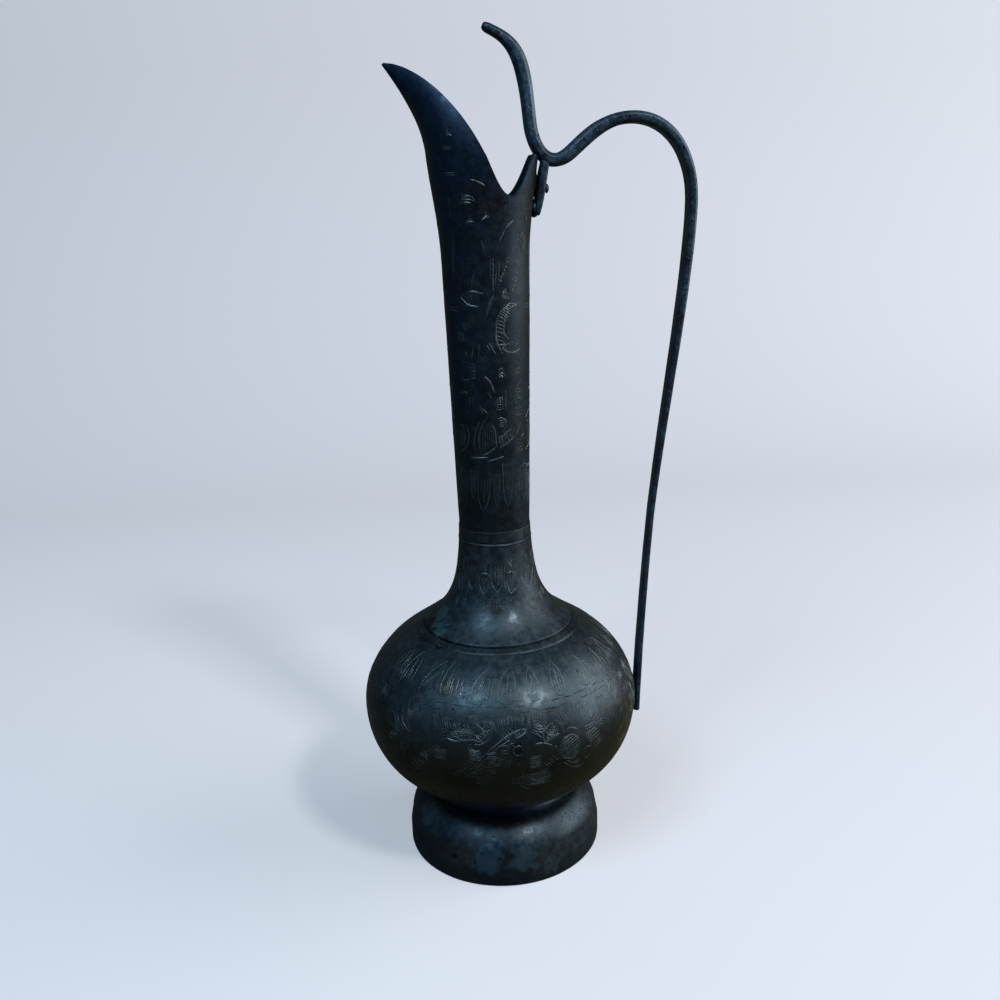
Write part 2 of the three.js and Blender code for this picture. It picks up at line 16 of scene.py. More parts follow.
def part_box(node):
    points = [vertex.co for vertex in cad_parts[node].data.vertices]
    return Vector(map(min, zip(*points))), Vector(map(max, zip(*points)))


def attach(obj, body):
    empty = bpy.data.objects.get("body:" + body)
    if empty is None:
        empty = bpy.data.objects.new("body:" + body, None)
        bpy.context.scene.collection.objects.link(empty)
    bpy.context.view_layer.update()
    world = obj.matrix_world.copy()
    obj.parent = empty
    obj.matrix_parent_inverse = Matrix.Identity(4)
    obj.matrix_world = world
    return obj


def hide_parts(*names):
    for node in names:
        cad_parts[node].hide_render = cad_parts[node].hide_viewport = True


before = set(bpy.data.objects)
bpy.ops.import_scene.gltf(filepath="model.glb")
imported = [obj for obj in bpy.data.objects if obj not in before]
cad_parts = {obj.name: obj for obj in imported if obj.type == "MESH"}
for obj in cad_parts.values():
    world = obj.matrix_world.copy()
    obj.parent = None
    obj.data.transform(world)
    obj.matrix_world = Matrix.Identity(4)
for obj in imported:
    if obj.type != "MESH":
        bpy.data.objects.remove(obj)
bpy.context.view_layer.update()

bl_info = {
    "name": "Engraved Brass Ewer",
    "version": (1, 0, 0),
    "blender": (4, 5, 0),
    "location": "3D View > Sidebar > Ewer",
    "description": "Builds an old brass ewer with a beak spout, a strap handle and chased ornament",
    "category": "Object",
}

# Places and sizes that the frame gives

MM = 0.001
BODY = "root"
bowl_low, bowl_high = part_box("upper_bowl")
collar_low, collar_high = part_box("neck_collar")
foot_low, foot_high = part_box("foot")
AXIS_X = (bowl_low.x + bowl_high.x) / 2
BELLY_RADIUS = (bowl_high.y - bowl_low.y) / 2
BELT_LEVEL = bowl_low.z
SEAM_LEVEL = collar_high.z
SKIRT_RADIUS = (collar_high.y - collar_low.y) / 2
FOOT_RADIUS = (foot_high.y - foot_low.y) / 2

# Foot and belly

FOOT_BAND_HEIGHT = 9.3 * MM
FOOT_SHOULDER_RADIUS = 47.4 * MM
FOOT_SHOULDER_HEIGHT = 16.5 * MM
FOOT_TOP_RADIUS = 38 * MM
FOOT_HEIGHT = 28.4 * MM
FOOT_THROAT_RADIUS = 32 * MM
FOOT_RIM_WIDTH = 4.2 * MM
FOOT_WALL = 2.6 * MM
FOOT_INNER_RADIUS = 26.5 * MM
FOOT_SHOULDER_DROP = 6.8 * MM
FOOT_TOP_RUN = 2.8 * MM
FOOT_EASE = 0.7 * MM
FOOT_SOLDER_REACH = (0.1 * MM, 2.7 * MM)
BOWL_DEPTH = 46.3 * MM
BOWL_SAG = 3.1 * MM
BOWL_WALL = 1.6 * MM
SOLE_FLAT = 0.72
BOWL_FULLNESS = 0.77
BOWL_FULL_RISE = 0.17
BOWL_UPRIGHT = 0.52
SEAT_INSET = 2 * MM
LIP_HEIGHT = 4 * MM
LIP_WALL = 1.2 * MM
SHOULDER_RISE = 47.3 * MM
SHOULDER_HOLE_RADIUS = 26.5 * MM
SEAT_LEVEL = BELT_LEVEL - BOWL_DEPTH

# Neck collar

COLLAR_TOP_RADIUS = 17.1 * MM
COLLAR_WALL = 1.4 * MM
COLLAR_EDGE = 1 * MM
COLLAR_SPREAD = 3.4 * MM
COLLAR_SPREAD_RISE = 10.9 * MM
COLLAR_SLIMMING = 0.9 * MM
COLLAR_SLIM_DROP = 25 * MM
COLLAR_LAND = 4.3 * MM
SOCKET_DEPTH = 9 * MM
SOCKET_WALL = 1.2 * MM
SOCKET_LEDGE = 1.4 * MM
TURNED_LINE_LEVEL = SEAM_LEVEL - 6.1 * MM
TURNED_LINE_DEPTH = 0.35 * MM
TURNED_LINE_REACH = 2.4 * MM
COLLAR_EASE = 0.25 * MM
COLLAR_SOLDER_REACH = (0.3 * MM, 3.7 * MM)
JOINT_GAP = 0.3 * MM

# Neck, mouth and spout

NECK_BASE_RADIUS = 16.8 * MM
NECK_TOP_RADIUS = 19.55 * MM
NECK_WALL = 2.4 * MM
MOUTH_RADIUS = 24.2 * MM
FLARE_LEVEL = SEAM_LEVEL + 119.7 * MM
FLARE_LENGTH = 46 * MM
MOUTH_LEVEL = FLARE_LEVEL + FLARE_LENGTH
FLARE_SOFTNESS = 0.35
FLARE_SPREAD = 1.9 * MM
FLARE_SPREAD_DROP = 18 * MM
SPOUT_REACH = 40.6 * MM
SPOUT_RISE = 37 * MM
SPOUT_TIP_RISE = 38 * MM
SPOUT_TIP_HALF_WIDTH = 1.1 * MM
SPOUT_TIP_WALL = 1.1 * MM
RIM_THINNING = 0.7       # share of the wall that is left at the spout's edge
TAB_THICKENING = 0.95    # and at the edge of the saddle and tab
BEAK_RUN = 46 * MM       # along the beak's rings, from the mouth's level to the tip
BEAK_BULGE = 0.5 * MM
BEAK_NARROWING = 1.3
SADDLE_SETBACK = 11.7 * MM
SADDLE_DROP = 17.1 * MM
TAB_DROP = 0.5 * MM
TAB_INSET = 1.6 * MM
TAB_SLOPE = 3.2 * MM

# Handle

BEND_X = MOUTH_RADIUS + 5.7 * MM
BEND_LEVEL = MOUTH_LEVEL - 3.1 * MM
TAIL_THICKNESS = 1.9 * MM
STRAP_ARRIS = 0.28
STRAP_NOSE = 3 * MM
STRAP_TOE = 0.5 * MM
LEG_ARRIS = 0.2
LEG_NOSE = 1 * MM
LEG_TOE = 0.9 * MM
RIVET_VOXEL = 0.16 * MM
RIVET_SMOOTHING = 4
PUNCHED_STEPS = range(75, 190)    # of the strap's line, from its first end
PUNCH_RADIUS = 0.42 * MM

# Surfaces

SHARP_ANGLE = math.radians(42)
MERGE_REACH = 0.002 * MM
BUMP_DEPTH = 0.12 * MM
# Height under which the belly is painted with a dark olive reflection of a wooden table
TABLE_REFLECTION_LEVEL = 92 * MM

# Half the width of a chased line, and its section: how far each point stands up, and where it lies across

CHASED_HALF_WIDTH = 0.24 * MM
CHASED_SECTION = ((-0.07, -0.26), (0.03, -0.24), (0.085, -0.15), (0.015, -0.05), (0.015, 0.06), (0.06, 0.16),
                  (0.02, 0.24), (-0.07, 0.26))

# Small helpers


def bezier(*pulls, steps=16):
    """Points of a Bezier curve through its two ends, pulled by the points between them."""
    degree = len(pulls) - 1
    points = []
    for step in range(steps + 1):
        t = step / steps
        weights = [math.comb(degree, i) * (1 - t) ** (degree - i) * t**i for i in range(degree + 1)]
        points.append(tuple(sum(w * p[axis] for w, p in zip(weights, pulls)) for axis in (0, 1)))
    return points


def offset_left(points, distance):
    """The points of a line, each pushed to the line's left."""
    moved = []
    for i, point in enumerate(points):
        before, after = points[max(i - 1, 0)], points[min(i + 1, len(points) - 1)]
        along = Vector((after[0] - before[0], after[1] - before[1])).normalized()
        moved.append((point[0] - along.y * distance, point[1] + along.x * distance))
    return moved


def eased(points, radius, steps=3, limit=math.radians(24)):
    """Rounds each corner of a closed outline that turns by more than the limit."""
    result = []
    count = len(points)
    for i, point in enumerate(points):
        here = Vector(point)
        back, on = Vector(points[i - 1]) - here, Vector(points[(i + 1) % count]) - here
        if back.length < 1e-7 or on.length < 1e-7 or math.pi - back.angle(on) < limit:
            result.append(point)
            continue
        start = here + back.normalized() * min(radius, back.length * 0.45)
        end = here + on.normalized() * min(radius, on.length * 0.45)
        result.extend(bezier(start, here, end, steps=steps))
    return result


def mix(a, b, share):
    return a + (b - a) * share


def smooth_step(share):
    share = min(max(share, 0), 1)
    return share * share * (3 - 2 * share)


def mesh_of(name, points, faces, edges=()):
    mesh = bpy.data.meshes.new(name)
    mesh.from_pydata([tuple(point) for point in points], list(edges), list(faces))
    mesh.update()
    return mesh


def ring_faces(rings, count, joins):
    """Faces from so many rings of points to the ring after each. The first comes after the last."""
    faces = []
    for i in range(joins):
        here, beside = i * count, (i + 1) % rings * count
        for j in range(count):
            on = (j + 1) % count
            faces.append((here + j, beside + j, beside + on, here + on))
    return faces


def wire_of(name, points):
    return mesh_of(name, points, [], [(i, i + 1) for i in range(len(points) - 1)])


def carry(mesh, name, values):
    """Gives each point of a mesh one number, or three where there are three times as many values."""
    if len(values) > len(mesh.vertices):
        mesh.attributes.new(name, "FLOAT_VECTOR", "POINT").data.foreach_set("vector", values)
    else:
        mesh.attributes.new(name, "FLOAT", "POINT").data.foreach_set("value", values)


def linked(name, data):
    """A new object in the scene."""
    thing = bpy.data.objects.new(name, data)
    bpy.context.scene.collection.objects.link(thing)
    return thing


def kept_mesh(piece):
    """The piece's mesh with its modifiers run."""
    bpy.context.view_layer.update()
    evaluated = piece.evaluated_get(bpy.context.evaluated_depsgraph_get())
    return bpy.data.meshes.new_from_object(evaluated)


# Trees: geometry and shader graphs share these helpers


def feed(tree, socket, value):
    """Gives a socket a value, or the link that feeds it."""
    if isinstance(value, bpy.types.NodeSocket):
        tree.links.new(value, socket)
    else:
        socket.default_value = value


def place(tree, kind, inputs=None, **settings):
    """Adds a node, sets it up and feeds its inputs."""
    node = tree.nodes.new(kind)
    for key, value in settings.items():
        setattr(node, key, value)
    for key, value in (inputs or {}).items():
        feed(tree, node.inputs[key], value)
    return node


def made(tree, kind, inputs=None, **settings):
    """The first output of a new node."""
    return place(tree, kind, inputs, **settings).outputs[0]


def maths(tree, operation, *values):
    return made(tree, "ShaderNodeMath", dict(enumerate(values)), operation=operation)


def times(tree, a, b):
    return maths(tree, "MULTIPLY", a, b)


def vectors(tree, operation, *values, scale=None):
    node = place(tree, "ShaderNodeVectorMath", dict(enumerate(values)), operation=operation)
    if scale is not None:
        feed(tree, node.inputs["Scale"], scale)
    return node.outputs[0]


def noise(tree, where, scale, detail=2.0, roughness=0.5, output="Fac"):
    inputs = {"Vector": where, "Scale": scale, "Detail": detail, "Roughness": roughness}
    return place(tree, "ShaderNodeTexNoise", inputs).outputs[output]


def new_tree(name, kind, takes, gives):
    """A node group with named inputs, each with its default, and named outputs."""
    tree = bpy.data.node_groups.new(name, kind)
    for socket_name, socket_kind, default in takes:
        socket = tree.interface.new_socket(socket_name, in_out="INPUT", socket_type=socket_kind)
        if default is not None:
            socket.default_value = default
    for socket_name, socket_kind in gives:
        tree.interface.new_socket(socket_name, in_out="OUTPUT", socket_type=socket_kind)
    return tree, tree.nodes.new("NodeGroupInput").outputs, tree.nodes.new("NodeGroupOutput").inputs


SURFACE_INPUTS = [
    ("Geometry", "NodeSocketGeometry", None),
    ("Dent depth", "NodeSocketFloat", 0.00012),
    ("Dent scale", "NodeSocketFloat", 42.0),
    ("Finish", "NodeSocketMaterial", None),
]


def surface_tree(name, takes):
    return new_tree(name, "GeometryNodeTree", takes, [("Geometry", "NodeSocketGeometry")])


def strayed(tree, where, scale, depth, share):
    """An offset that strays smoothly from place to place, up to a share of a depth."""
    centred = vectors(tree, "SUBTRACT", noise(tree, where, scale, output="Color"), (0.5, 0.5, 0.5))
    return vectors(tree, "SCALE", centred, scale=times(tree, depth, share))


def hand_raised_tree():
    """Moves a surface by a smooth field, so that it looks raised by hand and not turned true."""
    tree, given, result = surface_tree("Hand raised", SURFACE_INPUTS[:3])
    where = made(tree, "GeometryNodeInputPosition")
    push = strayed(tree, where, given["Dent scale"], given["Dent depth"], 2.0)
    moved = made(tree, "GeometryNodeSetPosition", {"Geometry": given["Geometry"], "Offset": push})
    feed(tree, result["Geometry"], moved)


def raised(tree, geometry, given):
    inputs = {"Geometry": geometry, "Dent depth": given["Dent depth"], "Dent scale": given["Dent scale"]}
    return made(tree, "GeometryNodeGroup", inputs, node_tree=bpy.data.node_groups["Hand raised"])


def finished(tree, geometry, given, result):
    real = made(tree, "GeometryNodeRealizeInstances", {"Geometry": geometry})
    dressed = made(tree, "GeometryNodeSetMaterial", {"Geometry": real, "Material": given["Finish"]})
    feed(tree, result["Geometry"], dressed)


def carried(tree, name, kind):
    """What the points of the seed carry under a name."""
    return made(tree, "GeometryNodeInputNamedAttribute", {"Name": name}, data_type=kind)


def turned_tree():
    """Turns a profile, a wire of radius in X and height in Z, round an upright axis."""
    tree, given, result = surface_tree("Turned surface", [
        *SURFACE_INPUTS, ("Sides", "NodeSocketInt", 160), ("Axis X", "NodeSocketFloat", 0.0),
    ])
    profile = given["Geometry"]
    count = place(tree, "GeometryNodeAttributeDomainSize", {"Geometry": profile}).outputs["Point Count"]
    columns = maths(tree, "ADD", given["Sides"], 1.0)
    grid = place(tree, "GeometryNodeMeshGrid", {
        "Size X": 1.0, "Size Y": 1.0, "Vertices X": columns, "Vertices Y": count,
    }).outputs["Mesh"]
    index = made(tree, "GeometryNodeInputIndex")
    column = maths(tree, "FLOOR", maths(tree, "DIVIDE", maths(tree, "ADD", index, 0.5), count))
    row = maths(tree, "SUBTRACT", index, times(tree, column, count))
    where = made(tree, "GeometryNodeInputPosition")
    sample = made(tree, "GeometryNodeSampleIndex", {
        "Geometry": profile, "Value": where, "Index": row,
    }, data_type="FLOAT_VECTOR", domain="POINT")
    point = place(tree, "ShaderNodeSeparateXYZ", {0: sample}).outputs
    turn = maths(tree, "DIVIDE", times(tree, column, math.tau), given["Sides"])
    x = maths(tree, "ADD", times(tree, point[0], maths(tree, "COSINE", turn)), given["Axis X"])
    y = times(tree, point[0], maths(tree, "SINE", turn))
    spot = made(tree, "ShaderNodeCombineXYZ", {0: x, 1: y, 2: point[2]})
    surface = made(tree, "GeometryNodeSetPosition", {"Geometry": grid, "Position": spot})
    whole = made(tree, "GeometryNodeMergeByDistance", {"Geometry": surface, "Distance": MERGE_REACH})
    finished(tree, raised(tree, whole, given), given, result)


def skin_tree():
    """Gives a ready surface the same dents as the turned pieces."""
    tree, given, result = surface_tree("Dented surface", SURFACE_INPUTS)
    finished(tree, raised(tree, given["Geometry"], given), given, result)


def chased_tree():
    """Runs a small profile along wires that lie on a surface, with the surface's normal as their lift."""
    tree, given, result = surface_tree("Chased lines", [
        *SURFACE_INPUTS, ("Profile", "NodeSocketObject", None), ("Line width", "NodeSocketFloat", 1.0),
    ])
    dented = raised(tree, given["Geometry"], given)
    curve = made(tree, "GeometryNodeMeshToCurve", {"Mesh": dented})
    lift = carried(tree, "lift", "FLOAT_VECTOR")
    stood = made(tree, "GeometryNodeSetCurveNormal", {"Curve": curve, "Normal": lift}, mode="FREE")
    profile = place(tree, "GeometryNodeObjectInfo", {"Object": given["Profile"]}).outputs["Geometry"]
    where = made(tree, "GeometryNodeInputPosition")
    across = place(tree, "ShaderNodeSeparateXYZ", {0: where}).outputs[1]
    marked = made(tree, "GeometryNodeStoreNamedAttribute", {
        "Geometry": profile, "Name": "across", "Value": maths(tree, "DIVIDE", across, CHASED_HALF_WIDTH),
    }, data_type="FLOAT", domain="POINT")
    outline = made(tree, "GeometryNodeMeshToCurve", {"Mesh": marked})
    width = times(tree, carried(tree, "width", "FLOAT"), given["Line width"])
    lines = made(tree, "GeometryNodeCurveToMesh", {
        "Curve": stood, "Profile Curve": outline, "Scale": width, "Fill Caps": True,
    })
    finished(tree, lines, given, result)


def punched_tree():
    """Puts a small low dome with a sunk middle on every point, turned to the point's lift."""
    tree, given, result = surface_tree("Punch marks", [
        *SURFACE_INPUTS, ("Mark radius", "NodeSocketFloat", 0.0004),
    ])
    dented = raised(tree, given["Geometry"], given)
    radius = given["Mark radius"]
    ball = {"Segments": 10, "Rings": 6, "Radius": radius}
    dome = place(tree, "GeometryNodeMeshUVSphere", ball).outputs["Mesh"]
    where = made(tree, "GeometryNodeInputPosition")
    parts = place(tree, "ShaderNodeSeparateXYZ", {0: where}).outputs
    reach = vectors(tree, "MULTIPLY", where, (1.0, 1.0, 0.0))
    away = place(tree, "ShaderNodeVectorMath", {0: reach}, operation="LENGTH").outputs["Value"]
    sunk = times(tree, maths(tree, "SUBTRACT", radius, away), -0.5)
    height = maths(tree, "ADD", times(tree, parts[2], 0.45), sunk)
    spot = made(tree, "ShaderNodeCombineXYZ", {0: parts[0], 1: parts[1], 2: height})
    crater = made(tree, "GeometryNodeSetPosition", {"Geometry": dome, "Position": spot})
    lift = carried(tree, "lift", "FLOAT_VECTOR")
    turn = made(tree, "FunctionNodeAlignRotationToVector", {"Vector": lift}, axis="Z")
    marks = made(tree, "GeometryNodeInstanceOnPoints", {
        "Points": dented, "Instance": crater, "Rotation": turn, "Scale": carried(tree, "width", "FLOAT"),
    })
    finished(tree, marks, given, result)


def lump_tree():
    """A lump of solder at each point, stretched to the point's size and left uneven."""
    tree, given, result = surface_tree("Solder lump", [
        *SURFACE_INPUTS, ("Unevenness", "NodeSocketFloat", 0.0003),
    ])
    ball = place(tree, "GeometryNodeMeshIcoSphere", {"Radius": 1.0, "Subdivisions": 5}).outputs["Mesh"]
    lumps = made(tree, "GeometryNodeInstanceOnPoints", {
        "Points": given["Geometry"], "Instance": ball, "Scale": carried(tree, "size", "FLOAT_VECTOR"),
    })
    real = made(tree, "GeometryNodeRealizeInstances", {"Geometry": lumps})
    where = made(tree, "GeometryNodeInputPosition")
    push = strayed(tree, where, 520.0, given["Unevenness"], 4.0)
    uneven = made(tree, "GeometryNodeSetPosition", {"Geometry": real, "Offset": push})
    finished(tree, uneven, given, result)


def grown(name, seed, tree_name, inputs):
    """Runs a geometry tree over a seed mesh and keeps what it grows as a plain piece."""
    piece = linked(name, seed)
    modifier = piece.modifiers.new("Grow", "NODES")
    tree = bpy.data.node_groups[tree_name]
    modifier.node_group = tree
    for item in tree.interface.items_tree:
        if item.item_type == "SOCKET" and item.in_out == "INPUT" and item.name in inputs:
            modifier[item.identifier] = inputs[item.name]
    mesh = kept_mesh(piece)
    piece.modifiers.clear()
    piece.data = mesh
    mesh.name = name
    if not mesh.polygons:
        raise RuntimeError(f"{name} came out empty")
    return piece


def settle(piece, slot, *nodes):
    """The last step of every piece: shading with crisp edges, its body and what it replaces. The slot is not
    used.
    """
    mesh = piece.data
    mesh.shade_smooth()
    mesh.set_sharp_from_angle(angle=SHARP_ANGLE)
    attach(piece, BODY)
    if nodes:
        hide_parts(*nodes)


# Profiles, as points of radius and height


def lower_bowl_outside():
    bottom = (0, SEAT_LEVEL - BOWL_SAG)
    seat = (FOOT_THROAT_RADIUS - SEAT_INSET, SEAT_LEVEL)
    sole = bezier(bottom, (seat[0] * SOLE_FLAT, bottom[1]), seat, steps=10)
    full = (BELLY_RADIUS * BOWL_FULLNESS, SEAT_LEVEL + BOWL_DEPTH * BOWL_FULL_RISE)
    upright = (BELLY_RADIUS, BELT_LEVEL - BOWL_DEPTH * BOWL_UPRIGHT)
    side = bezier(seat, full, upright, (BELLY_RADIUS, BELT_LEVEL), steps=40)
    return sole + side[1:]


def level_on(points, radius):
    """Height of a profile where it first reaches a radius."""
    for (r0, z0), (r1, z1) in zip(points, points[1:]):
        if r1 >= radius > r0:
            return mix(z0, z1, (radius - r0) / (r1 - r0))
    raise ValueError("the profile doesn't reach that radius")


def shoulder_level(radius):
    return BELT_LEVEL + SHOULDER_RISE * math.sqrt(1 - (radius / BELLY_RADIUS) ** 2)


def upper_bowl_outside(steps=48):
    hole = math.acos(SHOULDER_HOLE_RADIUS / BELLY_RADIUS)
    turns = [hole * i / steps for i in range(steps + 1)]
    return [(BELLY_RADIUS * math.cos(a), BELT_LEVEL + SHOULDER_RISE * math.sin(a)) for a in turns]


def foot_profile():
    shoulder = bezier(
        (FOOT_SHOULDER_RADIUS, FOOT_SHOULDER_HEIGHT),
        (FOOT_SHOULDER_RADIUS, FOOT_HEIGHT - FOOT_SHOULDER_DROP),
        (FOOT_TOP_RADIUS + FOOT_TOP_RUN, FOOT_HEIGHT),
        (FOOT_TOP_RADIUS, FOOT_HEIGHT),
    )
    throat_top = level_on(lower_bowl_outside(), FOOT_THROAT_RADIUS) - JOINT_GAP
    throat = bezier(
        (FOOT_TOP_RADIUS, FOOT_HEIGHT),
        (FOOT_THROAT_RADIUS, FOOT_HEIGHT),
        (FOOT_THROAT_RADIUS, throat_top),
        steps=10,
    )
    outside = [(FOOT_RADIUS, 0), (FOOT_RADIUS, FOOT_BAND_HEIGHT), *shoulder, *throat[1:]]
    inside = [
        (FOOT_INNER_RADIUS, level_on(lower_bowl_outside(), FOOT_INNER_RADIUS) - JOINT_GAP),
        (FOOT_INNER_RADIUS, FOOT_HEIGHT - FOOT_WALL),
        (FOOT_TOP_RADIUS - FOOT_WALL, FOOT_HEIGHT - FOOT_WALL),
        (FOOT_SHOULDER_RADIUS - FOOT_WALL, FOOT_SHOULDER_HEIGHT),
        (FOOT_RADIUS - FOOT_RIM_WIDTH, FOOT_BAND_HEIGHT),
        (FOOT_RADIUS - FOOT_RIM_WIDTH, 0),
    ]
    return eased(outside + inside, FOOT_EASE)


def foot_solder_profile():
    inner, outer = (FOOT_THROAT_RADIUS + reach for reach in FOOT_SOLDER_REACH)
    bowl = lower_bowl_outside()
    top_inner, top_outer = level_on(bowl, inner), level_on(bowl, outer)
    under = [(inner, top_inner - 2.4 * MM), (outer, top_outer - 0.4 * MM)]
    return eased([*under, (outer, top_outer), (inner, top_inner)], 0.5 * MM)


def lower_bowl_profile():
    outside = lower_bowl_outside()
    lip_outer = BELLY_RADIUS - BOWL_WALL - 2 * JOINT_GAP
    lip_inner = lip_outer - LIP_WALL
    below = BELT_LEVEL - LIP_HEIGHT - BOWL_WALL
    inside = [p for p in offset_left(outside, BOWL_WALL)[::-1] if p[1] < below and p[0] < lip_inner]
    inside[-1] = (0, inside[-1][1])
    edge = BELT_LEVEL - 0.03 * MM
    lip = [(lip_outer, edge), (lip_outer, BELT_LEVEL + LIP_HEIGHT), (lip_inner, BELT_LEVEL + LIP_HEIGHT)]
    return outside[:-1] + [(BELLY_RADIUS, edge)] + lip + [(lip_inner, BELT_LEVEL - LIP_HEIGHT)] + inside


def upper_bowl_profile():
    outside = upper_bowl_outside()
    inside = offset_left(outside, BOWL_WALL)[::-1]
    inside[-1] = (inside[-1][0], BELT_LEVEL)
    return outside + inside


def collar_outside():
    return bezier(
        (SKIRT_RADIUS, collar_low.z + COLLAR_EDGE),
        (COLLAR_TOP_RADIUS + COLLAR_SPREAD, collar_low.z + COLLAR_SPREAD_RISE),
        (COLLAR_TOP_RADIUS + COLLAR_SLIMMING, SEAM_LEVEL - COLLAR_SLIM_DROP),
        (COLLAR_TOP_RADIUS, SEAM_LEVEL),
        steps=70,
    )


def with_turned_lines(points):
    """Cuts the fine turned line below the collar's top, with a raised lip under it."""
    cut = []
    for radius, level in points:
        distance = (level - TURNED_LINE_LEVEL) / MM
        groove = -TURNED_LINE_DEPTH * math.exp(-((distance - 0.35) / 0.3) ** 2)
        lip = 0.55 * TURNED_LINE_DEPTH * math.exp(-((distance + 0.3) / 0.35) ** 2)
        cut.append((radius + groove + lip, level))
    return cut


def dense_near(points, level, reach, steps):
    """Adds points to a profile within a reach of a level."""
    result = []
    for (r0, z0), (r1, z1) in zip(points, points[1:]):
        result.append((r0, z0))
        if abs((z0 + z1) / 2 - level) < reach:
            result += [(mix(r0, r1, i / steps), mix(z0, z1, i / steps)) for i in range(1, steps)]
    return result + [points[-1]]


def collar_profile():
    bell = collar_outside()
    outside = with_turned_lines(dense_near(bell, TURNED_LINE_LEVEL, TURNED_LINE_REACH, 6))
    socket = COLLAR_TOP_RADIUS - SOCKET_WALL
    floor = SEAM_LEVEL - SOCKET_DEPTH - JOINT_GAP
    land = SKIRT_RADIUS - COLLAR_LAND
    below, within = floor - COLLAR_WALL, land - COLLAR_WALL
    inside = [p for p in offset_left(bell, COLLAR_WALL)[::-1] if p[1] < below and p[0] < within]
    seat = [(r, shoulder_level(r) + 0.05 * MM) for r in (land, (land + SKIRT_RADIUS) / 2, SKIRT_RADIUS)]
    ledge = [(socket, SEAM_LEVEL), (socket, floor), (socket - SOCKET_LEDGE, floor)]
    return eased(outside + ledge + inside + seat, COLLAR_EASE)


def collar_solder_profile():
    """A low flat band along the shoulder, with a narrow groove left between it and the collar's edge."""
    inner, outer = (SKIRT_RADIUS + reach for reach in COLLAR_SOLDER_REACH)
    section = (
        (outer, -0.1), (outer + 0.05 * MM, 0.3), (outer - 0.3 * MM, 0.52), (mix(inner, outer, 0.6), 0.5),
        (mix(inner, outer, 0.3), 0.46), (inner + 0.3 * MM, 0.5), (inner, 0.3), (inner, -0.1),
    )
    return eased([(r, shoulder_level(r) + lift * MM) for r, lift in section], 0.2 * MM)


# Neck and spout


def neck_outline():
    """Radius and height of the neck's outside, from its base up to the mouth's level."""
    base, top = (NECK_BASE_RADIUS, SEAM_LEVEL), (NECK_TOP_RADIUS, FLARE_LEVEL)
    taper = [tuple(mix(a, b, i / 40) for a, b in zip(base, top)) for i in range(40)]
    flare = bezier(
        (NECK_TOP_RADIUS, FLARE_LEVEL),
        (NECK_TOP_RADIUS, FLARE_LEVEL + FLARE_LENGTH * FLARE_SOFTNESS),
        (MOUTH_RADIUS - FLARE_SPREAD, MOUTH_LEVEL - FLARE_SPREAD_DROP),
        (MOUTH_RADIUS, MOUTH_LEVEL),
        steps=26,
    )
    return taper + flare


def beak_point(reach, rise):
    return (-SPOUT_REACH * reach, MOUTH_LEVEL + SPOUT_RISE * rise)


def neck_rows():
    """The neck's rings from its base up: run, middle, front half axis and half width."""
    rows = [(z, Vector((0, z)), Vector((-r, 0)), r) for r, z in neck_outline()]
    steps = 70
    tip = (-SPOUT_REACH, MOUTH_LEVEL + SPOUT_TIP_RISE)
    front = bezier(
        (-MOUTH_RADIUS, MOUTH_LEVEL),
        (-MOUTH_RADIUS - BEAK_BULGE, MOUTH_LEVEL + SPOUT_RISE * 0.25),
        beak_point(0.7, 0.545),
        (tip[0], tip[1] - 0.9 * MM),
        steps=steps,
    )
    middles = bezier(
        (0, MOUTH_LEVEL),
        beak_point(0.218, 0.503),
        beak_point(0.631, 0.987),
        (tip[0] + 0.7 * MM, tip[1] - 0.1 * MM),
        steps=steps,
    )
    for i in range(1, steps + 1):
        t = i / steps
        narrowing = max(math.cos(t * math.pi / 2), 0) ** BEAK_NARROWING
        half_width = mix(SPOUT_TIP_HALF_WIDTH, MOUTH_RADIUS, narrowing)
        middle = Vector(middles[i])
        rows.append((MOUTH_LEVEL + BEAK_RUN * t, middle, Vector(front[i]) - middle, half_width))
    return rows


NECK_ROWS = neck_rows()
NECK_RUNS = [row[0] for row in NECK_ROWS]


def neck_ring(run):
    """Middle, front half axis and half width of the neck's ring at a run."""
    i = min(max(bisect.bisect_right(NECK_RUNS, run), 1), len(NECK_ROWS) - 1)
    below, above = NECK_ROWS[i - 1], NECK_ROWS[i]
    share = min(max((run - below[0]) / (above[0] - below[0]), 0), 1)
    return below[1].lerp(above[1], share), below[2].lerp(above[2], share), mix(below[3], above[3], share)


def neck_point(turn, run):
    """A point of the neck's outside. Turn 0 is under the spout's tip, and a quarter turn faces -Y."""
    middle, reach, half_width = neck_ring(run)
    spot = middle + reach * math.cos(turn)
    return Vector((AXIS_X + spot.x, -half_width * math.sin(turn), spot.y))


def neck_normal(turn, run):
    round_it = neck_point(turn + 0.01, run) - neck_point(turn - 0.01, run)
    up_it = neck_point(turn, run + 0.2 * MM) - neck_point(turn, run - 0.2 * MM)
    normal = round_it.cross(up_it).normalized()
    middle = neck_ring(run)[0]
    outward = neck_point(turn, run) - Vector((AXIS_X + middle.x, 0, middle.y))
    return normal if normal.dot(outward) > 0 else -normal


def neck_wall(run):
    """Thickness of the neck's wall at a run, thinned where the beak is too slim to hold it."""
    _, reach, half_width = neck_ring(run)
    share = min(max((run - MOUTH_LEVEL) / BEAK_RUN, 0), 1)
    slim = min(half_width, reach.length, half_width**2 / reach.length, reach.length**2 / half_width)
    return min(mix(NECK_WALL, SPOUT_TIP_WALL, share), 0.55 * slim)


